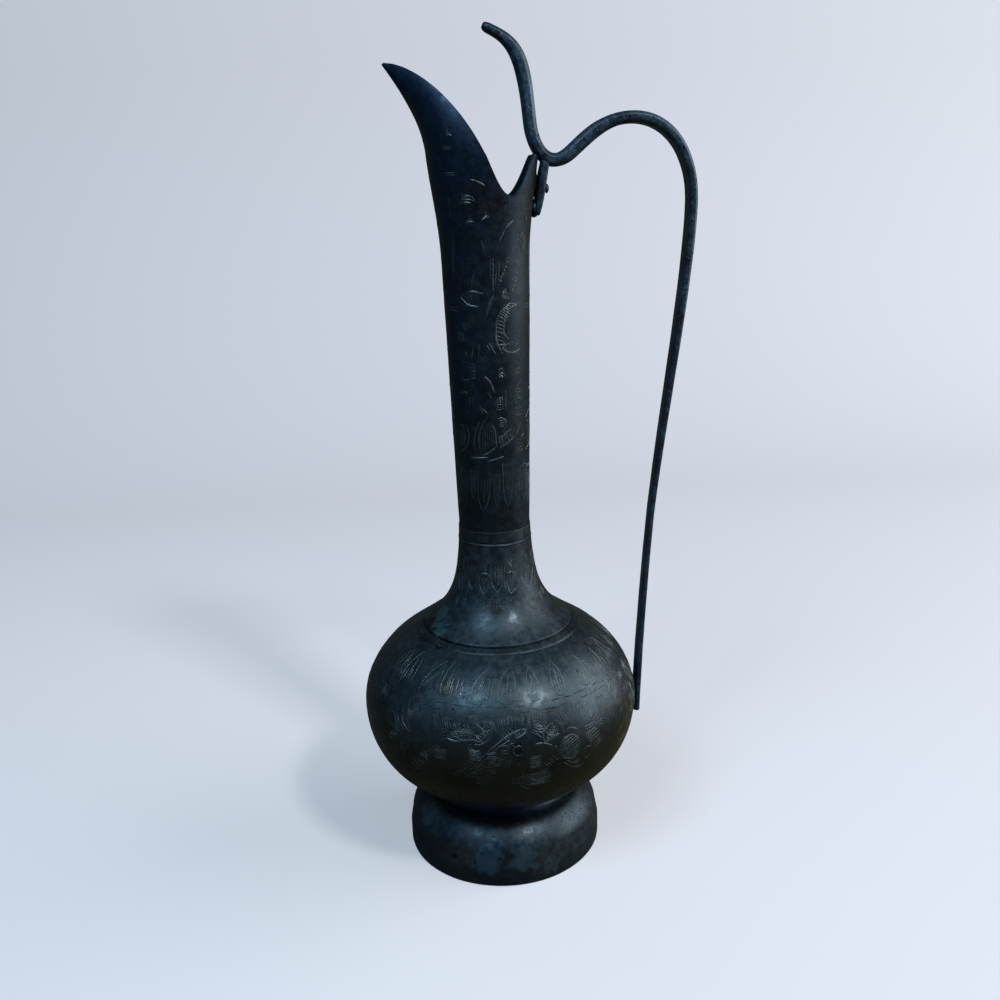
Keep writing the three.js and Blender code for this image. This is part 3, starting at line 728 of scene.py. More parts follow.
def low_mouth_edge():
    """The mouth's edge seen from the side, from the spout's foot over the saddle to the back of the tab."""
    brow = (SADDLE_SETBACK * 0.03, MOUTH_LEVEL)
    saddle = (SADDLE_SETBACK, MOUTH_LEVEL - SADDLE_DROP)
    tab = (MOUTH_RADIUS - TAB_INSET, MOUTH_LEVEL - TAB_DROP)
    span = tab[0] - saddle[0]
    brow_pull = (SADDLE_SETBACK * 0.41, MOUTH_LEVEL - SADDLE_DROP * 0.6)
    edge = bezier(brow, brow_pull, (saddle[0] * 0.64, saddle[1]), saddle, steps=40)
    tab_pull = (tab[0] - span / 4, tab[1] - SADDLE_DROP * 0.37)
    edge += bezier(saddle, (saddle[0] + span * 0.34, saddle[1]), tab_pull, tab, steps=40)[1:]
    back = (MOUTH_RADIUS + 2 * MM, tab[1] - TAB_SLOPE)
    return edge + bezier(tab, (mix(tab[0], back[0], 0.2), tab[1] - 0.1 * MM), back, steps=20)[1:]


def mouth_rim():
    """The mouth's edge as turns and runs of the neck, from the tip round one side to the back."""
    edge = low_mouth_edge()
    spout_turn = math.acos(-edge[0][0] / MOUTH_RADIUS)
    rim = [(0, MOUTH_LEVEL + BEAK_RUN)]
    rim += [(spout_turn, MOUTH_LEVEL + BEAK_RUN * (1 - i / 60)) for i in range(60)]
    for x, run in edge:
        cosine = -x / neck_ring(run)[2]
        rim.append((math.acos(max(cosine, -1)), run))
        if cosine <= -1:
            break
    return rim


def spread_along(rim, count):
    """Places on the rim at steps that are even partly by its turn and partly by its length."""
    lengths = [0]
    for before, after in zip(rim, rim[1:]):
        turned = abs(after[0] - before[0]) * MOUTH_RADIUS
        lengths.append(lengths[-1] + turned + 0.22 * (neck_point(*after) - neck_point(*before)).length)
    places = []
    for step in range(count + 1):
        want = lengths[-1] * step / count
        k = min(max(bisect.bisect_left(lengths, want), 1), len(rim) - 1)
        share = (want - lengths[k - 1]) / max(lengths[k] - lengths[k - 1], 1e-9)
        places.append(tuple(mix(a, b, share) for a, b in zip(rim[k - 1], rim[k])))
    return places


def neck_mesh(sides, rows=56):
    """The neck and spout as one closed wall: spigot, outside, rounded edge and hollow."""
    half = sides // 2
    rim = spread_along(mouth_rim(), half)
    base = MOUTH_LEVEL - SADDLE_DROP - 5 * MM
    spigot = COLLAR_TOP_RADIUS - SOCKET_WALL - JOINT_GAP / 2
    start = [
        (spigot, SEAM_LEVEL - SOCKET_DEPTH), (spigot, SEAM_LEVEL + 0.04 * MM),
        (NECK_BASE_RADIUS - 0.25 * MM, SEAM_LEVEL + 0.04 * MM),
        (NECK_BASE_RADIUS - NECK_WALL, SEAM_LEVEL - SOCKET_DEPTH),
    ]
    columns = []
    for j in range(sides):
        side, k = (1, j) if j <= half else (-1, sides - j)
        base_turn, (rim_turn, rim_run) = math.pi * k / half, rim[k]
        places = [(base_turn, mix(SEAM_LEVEL + 0.3 * MM, base, i / 60)) for i in range(60)]
        for i in range(rows + 1):
            run = mix(base, rim_run, i / rows)
            share = min((run - base) / (min(rim_run, MOUTH_LEVEL) - base), 1)
            places.append((mix(base_turn, rim_turn, share), run))
        edge_share = mix(RIM_THINNING, TAB_THICKENING, smooth_step((rim_turn - 1.66) / 0.5))
        wall_out = [neck_point(side * turn, run) for turn, run in places]
        wall_in = []
        for i, (out, (turn, run)) in enumerate(zip(wall_out, places)):
            thinned = mix(1, edge_share, smooth_step((i - 60) / rows))
            wall_in.append(out - neck_normal(side * turn, run) * neck_wall(run) * thinned)
        lip_start, lip_end = wall_out[-1], wall_in[-1]
        upward = (wall_out[-1] - wall_out[-3]).normalized()
        bulge = upward * min((lip_end - lip_start).length * 0.4, 0.6 * MM)
        lip = [lip_start.lerp(lip_end, i / 6) + bulge * math.sin(math.pi * i / 6) for i in range(1, 6)]
        turn = side * base_turn
        spots = [Vector((AXIS_X - r * math.cos(turn), -r * math.sin(turn), z)) for r, z in start]
        columns.append(spots[:-1] + wall_out + lip + wall_in[::-1] + spots[-1:])
    faces = ring_faces(sides, len(columns[0]), sides)
    return mesh_of("neck_seed", [point for column in columns for point in column], faces)


# Handle


def heading(turn):
    angle = math.radians(turn)
    return Vector((math.cos(angle), math.sin(angle)))


def strap_stations():
    """Places on the strap's middle line, each with its heading in degrees and its run before and after."""
    tail_x = BELLY_RADIUS + 1.2 * MM + TAIL_THICKNESS / 2
    return [
        (BEND_X - 25.4 * MM, BEND_LEVEL + 53.6 * MM, -25, 0, 13.5 * MM),
        (BEND_X - 8.9 * MM, BEND_LEVEL + 16.3 * MM, -84.5, 25 * MM, 9 * MM),
        (BEND_X + 9.1 * MM, BEND_LEVEL + 3.7 * MM, 40, 14.4 * MM, 9.6 * MM),
        (BEND_X + 35.1 * MM, BEND_LEVEL + 16.6 * MM, 0, 11 * MM, 16.5 * MM),
        (91.9 * MM, BEND_LEVEL - 19.2 * MM, -91, 20 * MM, 34 * MM),
        (BELLY_RADIUS + 7.7 * MM, BELT_LEVEL + 86.6 * MM, -94.8, 38.6 * MM, 32.6 * MM),
        (tail_x, BELT_LEVEL - 14 * MM, -92, 32 * MM, 0),
    ]


# Width of the strap at each station, and how far it reaches over and under its middle line, in millimetres
STRAP_SIZES = (
    (6.6, 1.6, 2.2), (9.5, 2.6, 2.7), (10.5, 3.3, 2.6), (11.5, 3, 1.9), (11.5, 1.75, 1.9), (8.4, 1.35, 1.1),
    (8.4, 1.2, 1.95),
)
STRAP_STEPS = (34, 34, 34, 36, 60, 30)
# Swelling of each stretch halfway between its stations, over and under the middle line, in millimetres
STRAP_SWELLS = ((0.75, 0.45), (-0.5, 0.2), (0.4, 0), (0, 0), (0, 0), (0, 0))


def strap_line():
    """Each step of the strap: its place in the middle plane, its direction and its three sizes."""
    stations = strap_stations()
    line = []
    for k, steps in enumerate(STRAP_STEPS):
        x0, z0, turn0, _, run0 = stations[k]
        x1, z1, turn1, run1, _ = stations[k + 1]
        start, end = Vector((x0, z0)), Vector((x1, z1))
        pulls = (start, start + heading(turn0) * run0, end - heading(turn1) * run1, end)
        points = [Vector(point) for point in bezier(*pulls, steps=steps)]
        for i, point in enumerate(points[:-1] if k < len(STRAP_STEPS) - 1 else points):
            before, after = points[max(i - 1, 0)], points[min(i + 1, steps)]
            swell = math.sin(math.pi * i / steps) ** 2
            sizes = zip(STRAP_SIZES[k], STRAP_SIZES[k + 1])
            width, over, under = (mix(a, b, smooth_step(i / steps)) for a, b in sizes)
            over, under = over + swell * STRAP_SWELLS[k][0], under + swell * STRAP_SWELLS[k][1]
            line.append((point, (after - before).normalized(), (width * MM, over * MM, under * MM)))
    return line


def bar_section(width, over, under, arris):
    """The section of a forged bar with worn arrises, as points under and across its middle line."""
    across, bevel = width / 2, arris * (over + under)
    corners = [
        (under, across - bevel), (under - bevel, across), (bevel - over, across), (-over, across - bevel),
        (-over, bevel - across), (bevel - over, -across), (under - bevel, -across), (under, bevel - across),
    ]
    return eased(corners, 0.32 * MM, steps=2)


def bar_ring(point, along, sizes, arris):
    downward = Vector((along.y, 0, -along.x))
    middle = Vector((point.x + AXIS_X, 0, point.y))
    return [middle + downward * a + Vector((0, b, 0)) for a, b in bar_section(*sizes, arris)]


def bar_mesh(name, line, arris, nose, toe):
    """A bar along a line in the middle plane, its first end rounded by the nose and its last by the toe."""

    def end_ring(end, reach, share):
        point, along, sizes = end
        spot = point + along * (reach * math.sqrt(1 - share**2))
        return bar_ring(spot, along, [size * mix(share, 1, 0.25) for size in sizes], arris)

    rings = [end_ring(line[0], -nose, share) for share in (0.3, 0.62, 0.88)]
    rings += [bar_ring(*step, arris) for step in line]
    rings += [end_ring(line[-1], toe, share) for share in (0.88, 0.62, 0.3)]
    count = len(rings[0])
    last = (len(rings) - 1) * count
    faces = [(a, d, c, b) for a, b, c, d in ring_faces(len(rings), count, len(rings) - 1)]
    faces += [tuple(reversed(range(count))), tuple(range(last, last + count))]
    return mesh_of(name, [point for points in rings for point in points], faces)


# Middle line of the leg from under the bend down to its foot, with width, reach inward and reach outward
LEG_LINE = (
    (27.4, 334.6, 9.2, 1.7, 1.9), (26.9, 331.5, 9.4, 1.75, 1.9), (26.2, 327.7, 9.5, 2.0, 1.9),
    (25.25, 322.7, 9.4, 2.05, 1.95), (24.55, 317.5, 9.2, 1.9, 1.75), (24.0, 313.8, 8.6, 1.6, 1.4),
    (23.6, 311.0, 7.4, 1.2, 0.9),
)


def leg_line():
    line = []
    spots = [Vector((x * MM, z * MM)) for x, z, *_ in LEG_LINE]
    for i, (_, _, width, inward, outward) in enumerate(LEG_LINE):
        along = (spots[min(i + 1, len(spots) - 1)] - spots[max(i - 1, 0)]).normalized()
        line.append((spots[i], along, (width * MM, outward * MM, inward * MM)))
    return line


# Skins: each gives a point, its normal and its radius for a turn in degrees from the front and a run


def turned_skin(profile):
    """Skin of a turned piece, whose run is the length along its profile, and what gives a level's run."""
    runs = [0]
    for before, after in zip(profile, profile[1:]):
        runs.append(runs[-1] + math.dist(before, after))

    def skin(turn, run):
        i = min(max(bisect.bisect_right(runs, run), 1), len(runs) - 1)
        share = (run - runs[i - 1]) / (runs[i] - runs[i - 1])
        (r0, z0), (r1, z1) = profile[i - 1], profile[i]
        radius, level = mix(r0, r1, share), mix(z0, z1, share)
        slope = Vector((z1 - z0, r0 - r1)).normalized()
        angle = math.radians(turn)
        point = Vector((AXIS_X + radius * math.sin(angle), -radius * math.cos(angle), level))
        return point, Vector((slope.x * math.sin(angle), -slope.x * math.cos(angle), slope.y)), radius

    def run_at(level):
        for run, (_, z0), (_, z1), after in zip(runs, profile, profile[1:], runs[1:]):
            if z0 <= level <= z1 and z1 > z0:
                return mix(run, after, (level - z0) / (z1 - z0))
        raise ValueError("the profile doesn't reach that level")

    return skin, run_at


def neck_skin(turn, run):
    angle = math.radians(turn + 90)
    return neck_point(angle, run), neck_normal(angle, run), neck_ring(run)[2]


FINE_WEIGHT = 0.55    # of the fine strokes in a field, beside a single stroke
DASH_LENGTH = 1.1     # of the pieces of a motif's stroke, in millimetres
PANEL_TURNS = (0, 120, 240)


class Chaser:
    """Draws lines on a skin as one wire that carries the skin's normals and the lines' widths."""

    def __init__(self, skin, run_at, seed):
        self.skin, self.run_at, self.rng = skin, run_at, random.Random(seed)
        self.points, self.edges, self.lifts, self.widths = [], [], [], []

    def line(self, spots, weight):
        """One stroke through spots of turn and run, thin at both ends."""
        first = len(self.points)
        for i, (turn, run) in enumerate(spots):
            point, normal, _ = self.skin(turn, run)
            self.points.append(point)
            self.lifts.append(normal)
            end = min(i, len(spots) - 1 - i) / max(len(spots) - 1, 1)
            self.widths.append(weight * mix(0.45, 1, min(end * 4, 1)))
        self.edges += [(first + i, first + i + 1) for i in range(len(spots) - 1)]

    def motif(self, marks, turn, level, lean=0.0, size=1.0, weight=1.0):
        """Puts a motif, drawn in millimetres round its foot, at a turn and a level, leaning by degrees."""
        base = self.run_at(level * MM)
        cosine, sine = math.cos(math.radians(lean)), math.sin(math.radians(lean))
        for points, strength in marks:
            shift_u, shift_w = self.rng.uniform(-0.12, 0.12), self.rng.uniform(-0.12, 0.12)
            spots = []
            for u, w in dashed(points):
                across = (u * cosine + w * sine) * size + shift_u
                run = base + ((w * cosine - u * sine) * size + shift_w) * MM
                radius = self.skin(turn, run)[2]
                spots.append((turn + math.degrees(across * MM / radius), run))
            self.line(spots, weight * strength * self.rng.uniform(0.75, 1.2))

    def stroke(self, side, places, weight):
        """A stroke through a row of turns and levels, moved round the axis by the side's turn."""
        self.line([(side + turn, self.run_at(level * MM)) for turn, level in led_through(places)], weight)

    def field(self, side, left, right, count, weight):
        """Fine strokes laid from one edge to the other, each a row of turns and levels."""
        edges = led_through(left, 0.3), led_through(right, 0.3)
        for i in range(count):
            share = (i + 0.5) / count + self.rng.uniform(-0.15, 0.15) / count
            start, end = (edge[round(share * (len(edge) - 1))] for edge in edges)
            a, b = start.lerp(end, self.rng.uniform(0, 0.1)), start.lerp(end, self.rng.uniform(0.9, 1.03))
            middle = a.lerp(b, 0.5) + Vector((0, self.rng.uniform(-0.2, 0.2)))
            spots = [(side + turn, self.run_at(level * MM)) for turn, level in bezier(a, middle, b, steps=4)]
            self.line(spots, FINE_WEIGHT * weight * self.rng.uniform(0.75, 1.25))

    def patch(self, side, turn, level, width, height, count, weight):
        """Crossed fine strokes in an upright patch."""
        left, right, low, high = turn - width / 2, turn + width / 2, level - height / 2, level + height / 2
        self.field(side, (left, high, left, low), (right, high, right, low), count, weight)
        self.field(side, (left, high, right, high), (left, low, right, low), count, weight)

    def wire(self, name):
        mesh = mesh_of(name, self.points, [], self.edges)
        lifts = [part for normal in self.lifts for part in normal]
        carry(mesh, "lift", lifts)
        carry(mesh, "width", self.widths)
        return mesh


def led_through(places, step=1.2):
    """A smooth line through a row that holds a turn and a level by turns."""
    spots = [Vector(places[i:i + 2]) for i in range(0, len(places), 2)]
    result = []
    for k, (start, end) in enumerate(zip(spots, spots[1:])):
        before, after = spots[max(k - 1, 0)], spots[min(k + 2, len(spots) - 1)]
        steps = max(int((end - start).length / step), 2)
        pulls = (start, start + (end - before) / 6, end - (after - start) / 6, end)
        result += [Vector(spot) for spot in bezier(*pulls, steps=steps)[:-1]]
    return result + [spots[-1]]


def dashed(points):
    """The points of a stroke, with more between them where they lie far apart."""
    result = [points[0]]
    for before, after in zip(points, points[1:]):
        parts = max(int(math.dist(before, after) / DASH_LENGTH), 1)
        result += [(mix(before[0], after[0], i / parts), mix(before[1], after[1], i / parts))
                   for i in range(1, parts + 1)]
    return result


# Motifs of the chaser: lists of strokes, each its points (across, up) in millimetres and its weight


def hatch(rng, start, end, reach, count, slant=0.0, weight=0.7):
    """Parallel strokes along a line, each as long as reach says for its share of the way."""
    marks = []
    for i in range(count):
        share = (i + 0.5) / count + rng.uniform(-0.12, 0.12) / count
        x, y = mix(start[0], end[0], share), mix(start[1], end[1], share)
        along = Vector((end[0] - start[0], end[1] - start[1])).normalized()
        away = Vector((-along.y, along.x)) + along * slant
        low, high = reach(share)
        low, high = low + rng.uniform(0, 0.25), high + rng.uniform(-0.4, 0.25)
        a, b = (x + away.x * low, y + away.y * low), (x + away.x * high, y + away.y * high)
        middle = (mix(a[0], b[0], 0.5) + rng.uniform(-0.12, 0.12), mix(a[1], b[1], 0.5))
        marks.append((bezier(a, middle, b, steps=3), weight))
    return marks


def petal(rng, width, height, strokes):
    """A pointed petal with upright hatching."""
    w = width / 2
    top = (w * rng.uniform(-0.2, 0.25), height)
    marks = [
        (bezier((-w * 0.75, 0.5), (-w * 1.4, height * 0.4), (-w * 0.5, height * 0.85), top, steps=7), 0.8),
        (bezier((w * 0.7, 0), (w * 1.35, height * 0.42), (w * 0.7, height * 0.8), top, steps=7), 0.75),
    ]
    if rng.random() < 0.5:
        outer = bezier((w * 1.1, 0.4), (w * 1.8, height * 0.42), (w * 1.1, height * 0.72), steps=5)
        marks.append((outer, 0.7))
    body = lambda share: (height * 0.12, height * (0.8 - 1.1 * abs(share - 0.5)))
    marks += hatch(rng, (-w * 0.62, 0), (w * 0.62, 0), body, strokes, weight=0.75)
    marks.append((bezier((-w * 0.9, 0.2), (0, -height * 0.12), (w * 0.8, -0.2), steps=4), 0.8))
    return marks


def leaf(rng, width, length, strokes):
    """An almond leaf with a midrib and slanted hatching on one side."""
    w = width / 2
    marks = [
        (bezier((0, 0), (-w * 1.5, length * 0.35), (-w * 0.9, length * 0.8), (0, length), steps=7), 1.1),
        (bezier((0, 0), (w * 1.4, length * 0.3), (w * 1.1, length * 0.75), (0, length), steps=7), 1.0),
        (bezier((0, length * 0.1), (w * 0.2, length * 0.5), (0, length * 0.85), steps=4), 0.8),
    ]
    side = rng.choice((-1, 1))
    body = lambda share: (0.2, w * (1.15 - 1.6 * abs(share - 0.5)))
    start, end = ((0, length * 0.14), (0, length * 0.86))[::side]
    return marks + hatch(rng, start, end, body, strokes, slant=-0.6, weight=0.75)


def crescent(rng, radius, depth, start, end, strokes):
    """A crescent band of fine hatching between two arcs."""

    def arc(reach, steps=9):
        turns = [math.radians(mix(start, end, i / steps)) for i in range(steps + 1)]
        return [(reach(i / steps) * math.cos(a), reach(i / steps) * math.sin(a)) for i, a in enumerate(turns)]

    inner = lambda share: radius - depth * math.sin(math.pi * share) ** 0.7
    marks = [(arc(lambda share: radius), 1.15), (arc(inner), 0.9)]
    for i in range(strokes):
        share = (i + 0.5) / strokes + rng.uniform(-0.02, 0.02)
        a = math.radians(mix(start, end, share))
        b = math.radians(mix(start, end, share + 0.05))
        low, high = inner(share) - rng.uniform(0, 0.5), radius + rng.uniform(-0.2, 0.3)
        stroke = [(low * math.cos(a), low * math.sin(a)), (high * math.cos(b), high * math.sin(b))]
        marks.append((stroke, 0.75))
    return marks


def pendant(rng, width, height):
    """A long drop with a ragged head, upright strokes and a pointed foot."""
    w = width / 2
    marks = [
        (bezier((0, -height), (-w * 1.3, -height * 0.75), (-w * 0.7, -height * 0.4), (-w, 0), steps=9), 1.1),
        (bezier((0, -height), (w * 1.2, -height * 0.7), (w * 0.6, -height * 0.35), (w, -0.4), steps=9), 1.0),
    ]
    body = lambda share: (-height * (0.82 - 0.7 * abs(share - 0.5)), -height * 0.16)
    marks += hatch(rng, (-w * 0.6, 0), (w * 0.6, 0), body, 3, weight=0.75)
    marks += hatch(rng, (-w, -0.6), (w, -0.6), lambda share: (-1.2, 0.6), 4, slant=0.5, weight=0.7)
    return marks


def stem(*spots):
    return [(bezier(*spots, steps=8), 1.05)]


def ring_mark(radius, x=0.0, y=0.0):
    turns = [math.tau * i / 8 for i in range(9)]
    return [([(x + radius * math.cos(a), y + radius * math.sin(a)) for a in turns], 0.8)]


def bead_chain(end, count):
    marks = []
    for i in range(count):
        marks += ring_mark(0.35, mix(0, end[0], i / (count - 1)), mix(0, end[1], i / (count - 1)))
    return marks


def tuft(rng, length, blades, spread):
    """Blades that fan out from one foot."""
    marks = []
    for i in range(blades):
        a = math.radians(mix(-spread / 2, spread / 2, i / max(blades - 1, 1)) + rng.uniform(-4, 4))
        reach = length * rng.uniform(0.75, 1.05)
        tip = (reach * math.sin(a), reach * math.cos(a))
        marks.append((bezier((0, 0), (tip[0] * 0.2, tip[1] * 0.6), tip, steps=4), 0.9))
    return marks


def softened_seed(node, voxel, smoothing):
    """A CAD solid with its facets and edges worn soft."""
    work = linked(node + "_work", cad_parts[node].data.copy())
    remesh = work.modifiers.new("Remesh", "REMESH")
    remesh.mode = "VOXEL"
    remesh.voxel_size = voxel
    smooth = work.modifiers.new("Smooth", "SMOOTH")
    smooth.iterations = smoothing
    smooth.factor = 0.5
    mesh = kept_mesh(work)
    bpy.data.objects.remove(work)
    return mesh


# Finishes


def mixed(tree, share, a, b):
    """A colour between two colours. The share, a or b may be a link."""
    node = tree.nodes.new("ShaderNodeMix")
    node.data_type = "RGBA"
    for socket, value in ((node.inputs[0], share), (node.inputs[6], a), (node.inputs[7], b)):
        feed(tree, socket, (*value, 1) if isinstance(value, tuple) else value)
    return node.outputs[2]


def ranged(tree, value, low, high, to_low=0.0, to_high=1.0):
    """The value carried smoothly from one range to another, held at both ends."""
    return made(tree, "ShaderNodeMapRange", {
        0: value, 1: low, 2: high, 3: to_low, 4: to_high,
    }, interpolation_type="SMOOTHSTEP")


def clouds_group():
    """Broad and fine clouds of patina, and stains that run down the metal."""
    tree, given, result = new_tree("Patina clouds", "ShaderNodeTree", [
        ("Vector", "NodeSocketVector", None), ("Scale", "NodeSocketFloat", 30.0),
    ], [("Broad", "NodeSocketFloat"), ("Fine", "NodeSocketFloat"), ("Runs", "NodeSocketFloat")])
    where = given["Vector"]
    bent = noise(tree, where, 55.0, 3.0, output="Color")
    warped = vectors(tree, "ADD", where, vectors(tree, "SCALE", bent, scale=0.012))
    broad = noise(tree, warped, given["Scale"], 6.0, 0.62)
    fine = noise(tree, where, times(tree, given["Scale"], 9.0), 6.0, 0.7)
    runs = noise(tree, vectors(tree, "MULTIPLY", warped, (150.0, 150.0, 16.0)), 1.0, 4.0)
    tree.links.new(ranged(tree, broad, 0.34, 0.68), result["Broad"])
    tree.links.new(ranged(tree, fine, 0.32, 0.7), result["Fine"])
    tree.links.new(ranged(tree, runs, 0.5, 0.72), result["Runs"])


def pits_group():
    """Scattered corrosion pits of several sizes, thicker in some places than in others."""
    tree, given, result = new_tree("Pits", "ShaderNodeTree", [
        ("Vector", "NodeSocketVector", None),
        ("Scale", "NodeSocketFloat", 190.0),
        ("Amount", "NodeSocketFloat", 0.5),
    ], [("Mask", "NodeSocketFloat")])
    where = given["Vector"]
    bent = noise(tree, where, 700.0, output="Color")
    warped = vectors(tree, "ADD", where, vectors(tree, "SCALE", bent, scale=0.0016))
    total = None
    for scale, size in ((1.0, 0.2), (2.6, 0.26)):
        cells = place(tree, "ShaderNodeTexVoronoi", {
            "Vector": warped, "Scale": times(tree, given["Scale"], scale),
        })
        chance = made(tree, "ShaderNodeSeparateColor", {0: cells.outputs["Color"]})
        radius = times(tree, maths(tree, "SUBTRACT", given["Amount"], chance), size * 2)
        away = maths(tree, "SUBTRACT", radius, cells.outputs["Distance"])
        spots = ranged(tree, away, 0.0, 0.09)
        total = spots if total is None else maths(tree, "MAXIMUM", total, spots)
    thick = ranged(tree, noise(tree, where, 36.0), 0.42, 0.58)
    tree.links.new(times(tree, total, thick), result["Mask"])


def hairlines_group():
    """Fine scratches in several directions, broken into short pieces."""
    tree, given, result = new_tree("Hairlines", "ShaderNodeTree", [
        ("Vector", "NodeSocketVector", None), ("Amount", "NodeSocketFloat", 0.5),
    ], [("Mask", "NodeSocketFloat")])
    total = None
    for turn, stretch in (((0.3, 0.9, 0.2), 60.0), ((1.1, 0.2, 0.7), 45.0), ((0.1, 0.5, 1.6), 80.0)):
        spin = {"Vector": given["Vector"], "Rotation": turn}
        turned = made(tree, "ShaderNodeVectorRotate", spin, rotation_type="EULER_XYZ")
        drawn = vectors(tree, "MULTIPLY", turned, (2600.0, 2600.0, stretch))
        lines = ranged(tree, noise(tree, drawn, 1.0, 1.0), 0.69, 0.76)
        total = lines if total is None else maths(tree, "MAXIMUM", total, lines)
    breaks = noise(tree, given["Vector"], 70.0, 3.0)
    kept = ranged(tree, maths(tree, "ADD", breaks, given["Amount"]), 0.9, 1.15)
    tree.links.new(times(tree, total, kept), result["Mask"])


def patch_group():
    """A ragged patch round a place."""
    tree, given, result = new_tree("Ragged patch", "ShaderNodeTree", [
        ("Vector", "NodeSocketVector", None),
        ("Centre", "NodeSocketVector", None),
        ("Reach", "NodeSocketFloat", 0.01),
    ], [("Mask", "NodeSocketFloat")])
    where = given["Vector"]
    away = place(tree, "ShaderNodeVectorMath", {0: where, 1: given["Centre"]}, operation="DISTANCE")
    ragged = times(tree, maths(tree, "SUBTRACT", noise(tree, where, 260.0, 5.0), 0.5), 2.4)
    share = maths(tree, "ADD", maths(tree, "DIVIDE", away.outputs["Value"], given["Reach"]), ragged)
    tree.links.new(ranged(tree, share, 0.45, 1.0, 1.0, 0.0), result["Mask"])


def grouped(tree, name, inputs):
    """Adds a shared group and feeds it."""
    return place(tree, "ShaderNodeGroup", inputs, node_tree=bpy.data.node_groups[name]).outputs


def bare_finish(name, plain):
    """A new finish with an empty tree, its plain colour for solid views, and the places that it colours."""
    material = bpy.data.materials.new(name)
    material.use_nodes = True
    material.diffuse_color = (*plain, 1)
    tree = material.node_tree
    tree.nodes.clear()
    return tree, place(tree, "ShaderNodeTexCoord").outputs["Object"]


def surfaced(tree, inputs):
    """Ends a finish in one shaded surface."""
    surface = made(tree, "ShaderNodeBsdfPrincipled", inputs)
    place(tree, "ShaderNodeOutputMaterial", {0: surface})


def brass_finish(
    name, dark, middle, light, metallic=0.7, roughness=(0.34, 0.58), scale=30.0, pits=0.5, hairs=0.45,
    bloom_share=0.45, table_reflection_below=None, painted_shade_below=None, patches=(), turned=0.0,
):
    """Old brass: clouds of three tones, a dark olive painted reflection of a wooden table low down, painted
    shade on an upright band, pits, scratches, faint turning marks and patches, some of them painted light and
    shade.
    """
    tree, where = bare_finish(name, middle)
    clouds = grouped(tree, "Patina clouds", {"Vector": where, "Scale": scale})
    pit_mask = grouped(tree, "Pits", {"Vector": where, "Amount": pits})["Mask"]
    hair_mask = grouped(tree, "Hairlines", {"Vector": where, "Amount": hairs})["Mask"]
    colour = mixed(tree, clouds["Broad"], dark, middle)
    bloom = times(tree, clouds["Fine"], clouds["Broad"])
    colour = mixed(tree, times(tree, bloom, bloom_share), colour, light)
    colour = mixed(tree, times(tree, clouds["Runs"], 0.35), colour, dark)
    # Below the level the colour turns dark olive: a painted reflection of a wooden table, darker towards the
    # bottom
    if table_reflection_below:
        level = place(tree, "ShaderNodeSeparateXYZ", {0: where}).outputs[2]
        ragged = maths(tree, "ADD", level, times(tree, clouds["Fine"], -0.012))
        low = ranged(tree, ragged, table_reflection_below - 0.028, table_reflection_below, 1.0, 0.0)
        colour = mixed(tree, times(tree, low, 0.85), colour, (0.02, 0.02, 0.009))
    # Below the level the colour darkens towards the dark tone: painted shade on the upright band of the foot
    if painted_shade_below:
        level = place(tree, "ShaderNodeSeparateXYZ", {0: where}).outputs[2]
        band = ranged(tree, level, painted_shade_below - 0.0003, painted_shade_below + 0.0003, 1.0, 0.0)
        colour = mixed(tree, times(tree, band, 0.55), colour, dark)
    for centre, reach, tint, strength in patches:
        patch = grouped(tree, "Ragged patch", {"Vector": where, "Centre": centre, "Reach": reach})["Mask"]
        colour = mixed(tree, times(tree, patch, strength), colour, tint)
    colour = mixed(tree, times(tree, pit_mask, 0.9), colour, (0.006, 0.007, 0.007))
    bright = tuple(min(part * 2.6 + 0.03, 1) for part in light)
    colour = mixed(tree, times(tree, hair_mask, 0.45), colour, bright)
    rough = ranged(tree, clouds["Fine"], 0.0, 1.0, *roughness)
    rough = maths(tree, "ADD", rough, times(tree, pit_mask, 0.25))
    height = maths(tree, "SUBTRACT", times(tree, clouds["Fine"], 0.35), pit_mask)
    height = maths(tree, "SUBTRACT", height, times(tree, hair_mask, 0.25))
    if turned:
        rings = noise(tree, vectors(tree, "MULTIPLY", where, (14.0, 14.0, 3400.0)), 1.0)
        height = maths(tree, "ADD", height, times(tree, rings, turned))
    relief = made(tree, "ShaderNodeBump", {"Strength": 0.55, "Distance": BUMP_DEPTH, "Height": height})
    surfaced(tree, {"Base Color": colour, "Roughness": rough, "Metallic": metallic, "Normal": relief})


def chased_finish(name, groove, burr):
    """The chased lines: a dark groove between two worn burrs, brighter in some places than in others."""
    tree, where = bare_finish(name, burr)
    clouds = grouped(tree, "Patina clouds", {"Vector": where, "Scale": 44.0})
    across = place(tree, "ShaderNodeAttribute", attribute_name="across").outputs["Fac"]
    away = maths(tree, "ABSOLUTE", across)
    raised_share = ranged(tree, away, 0.28, 0.62)
    broad = times(tree, clouds["Broad"], 0.75)
    fine = times(tree, clouds["Fine"], 0.35)
    lit = mixed(tree, maths(tree, "ADD", broad, fine), tuple(part * 0.22 for part in burr), burr)
    colour = mixed(tree, raised_share, groove, lit)
    rough = ranged(tree, clouds["Fine"], 0.0, 1.0, 0.28, 0.5)
    surfaced(tree, {"Base Color": colour, "Roughness": rough, "Metallic": 0.75})


def tinted(colour, strength, warmth=1.0):
    """The colour made stronger or weaker, and warmer by taking from its blue."""
    red, green, blue = colour
    return (min(red * strength * warmth, 1), min(green * strength, 1), min(blue * strength / warmth, 1))


def stain_and_light_patch(turn, level, radius, reach, tint, strength):
    """A patch on a turned piece, used both for stains and for painted light and shade, with its turn from the
    front in degrees and its sizes in millimetres.
    """
    angle = math.radians(turn)
    centre = (AXIS_X + radius * MM * math.sin(angle), -radius * MM * math.cos(angle), level * MM)
    return centre, reach * MM, tint, strength


# Settings


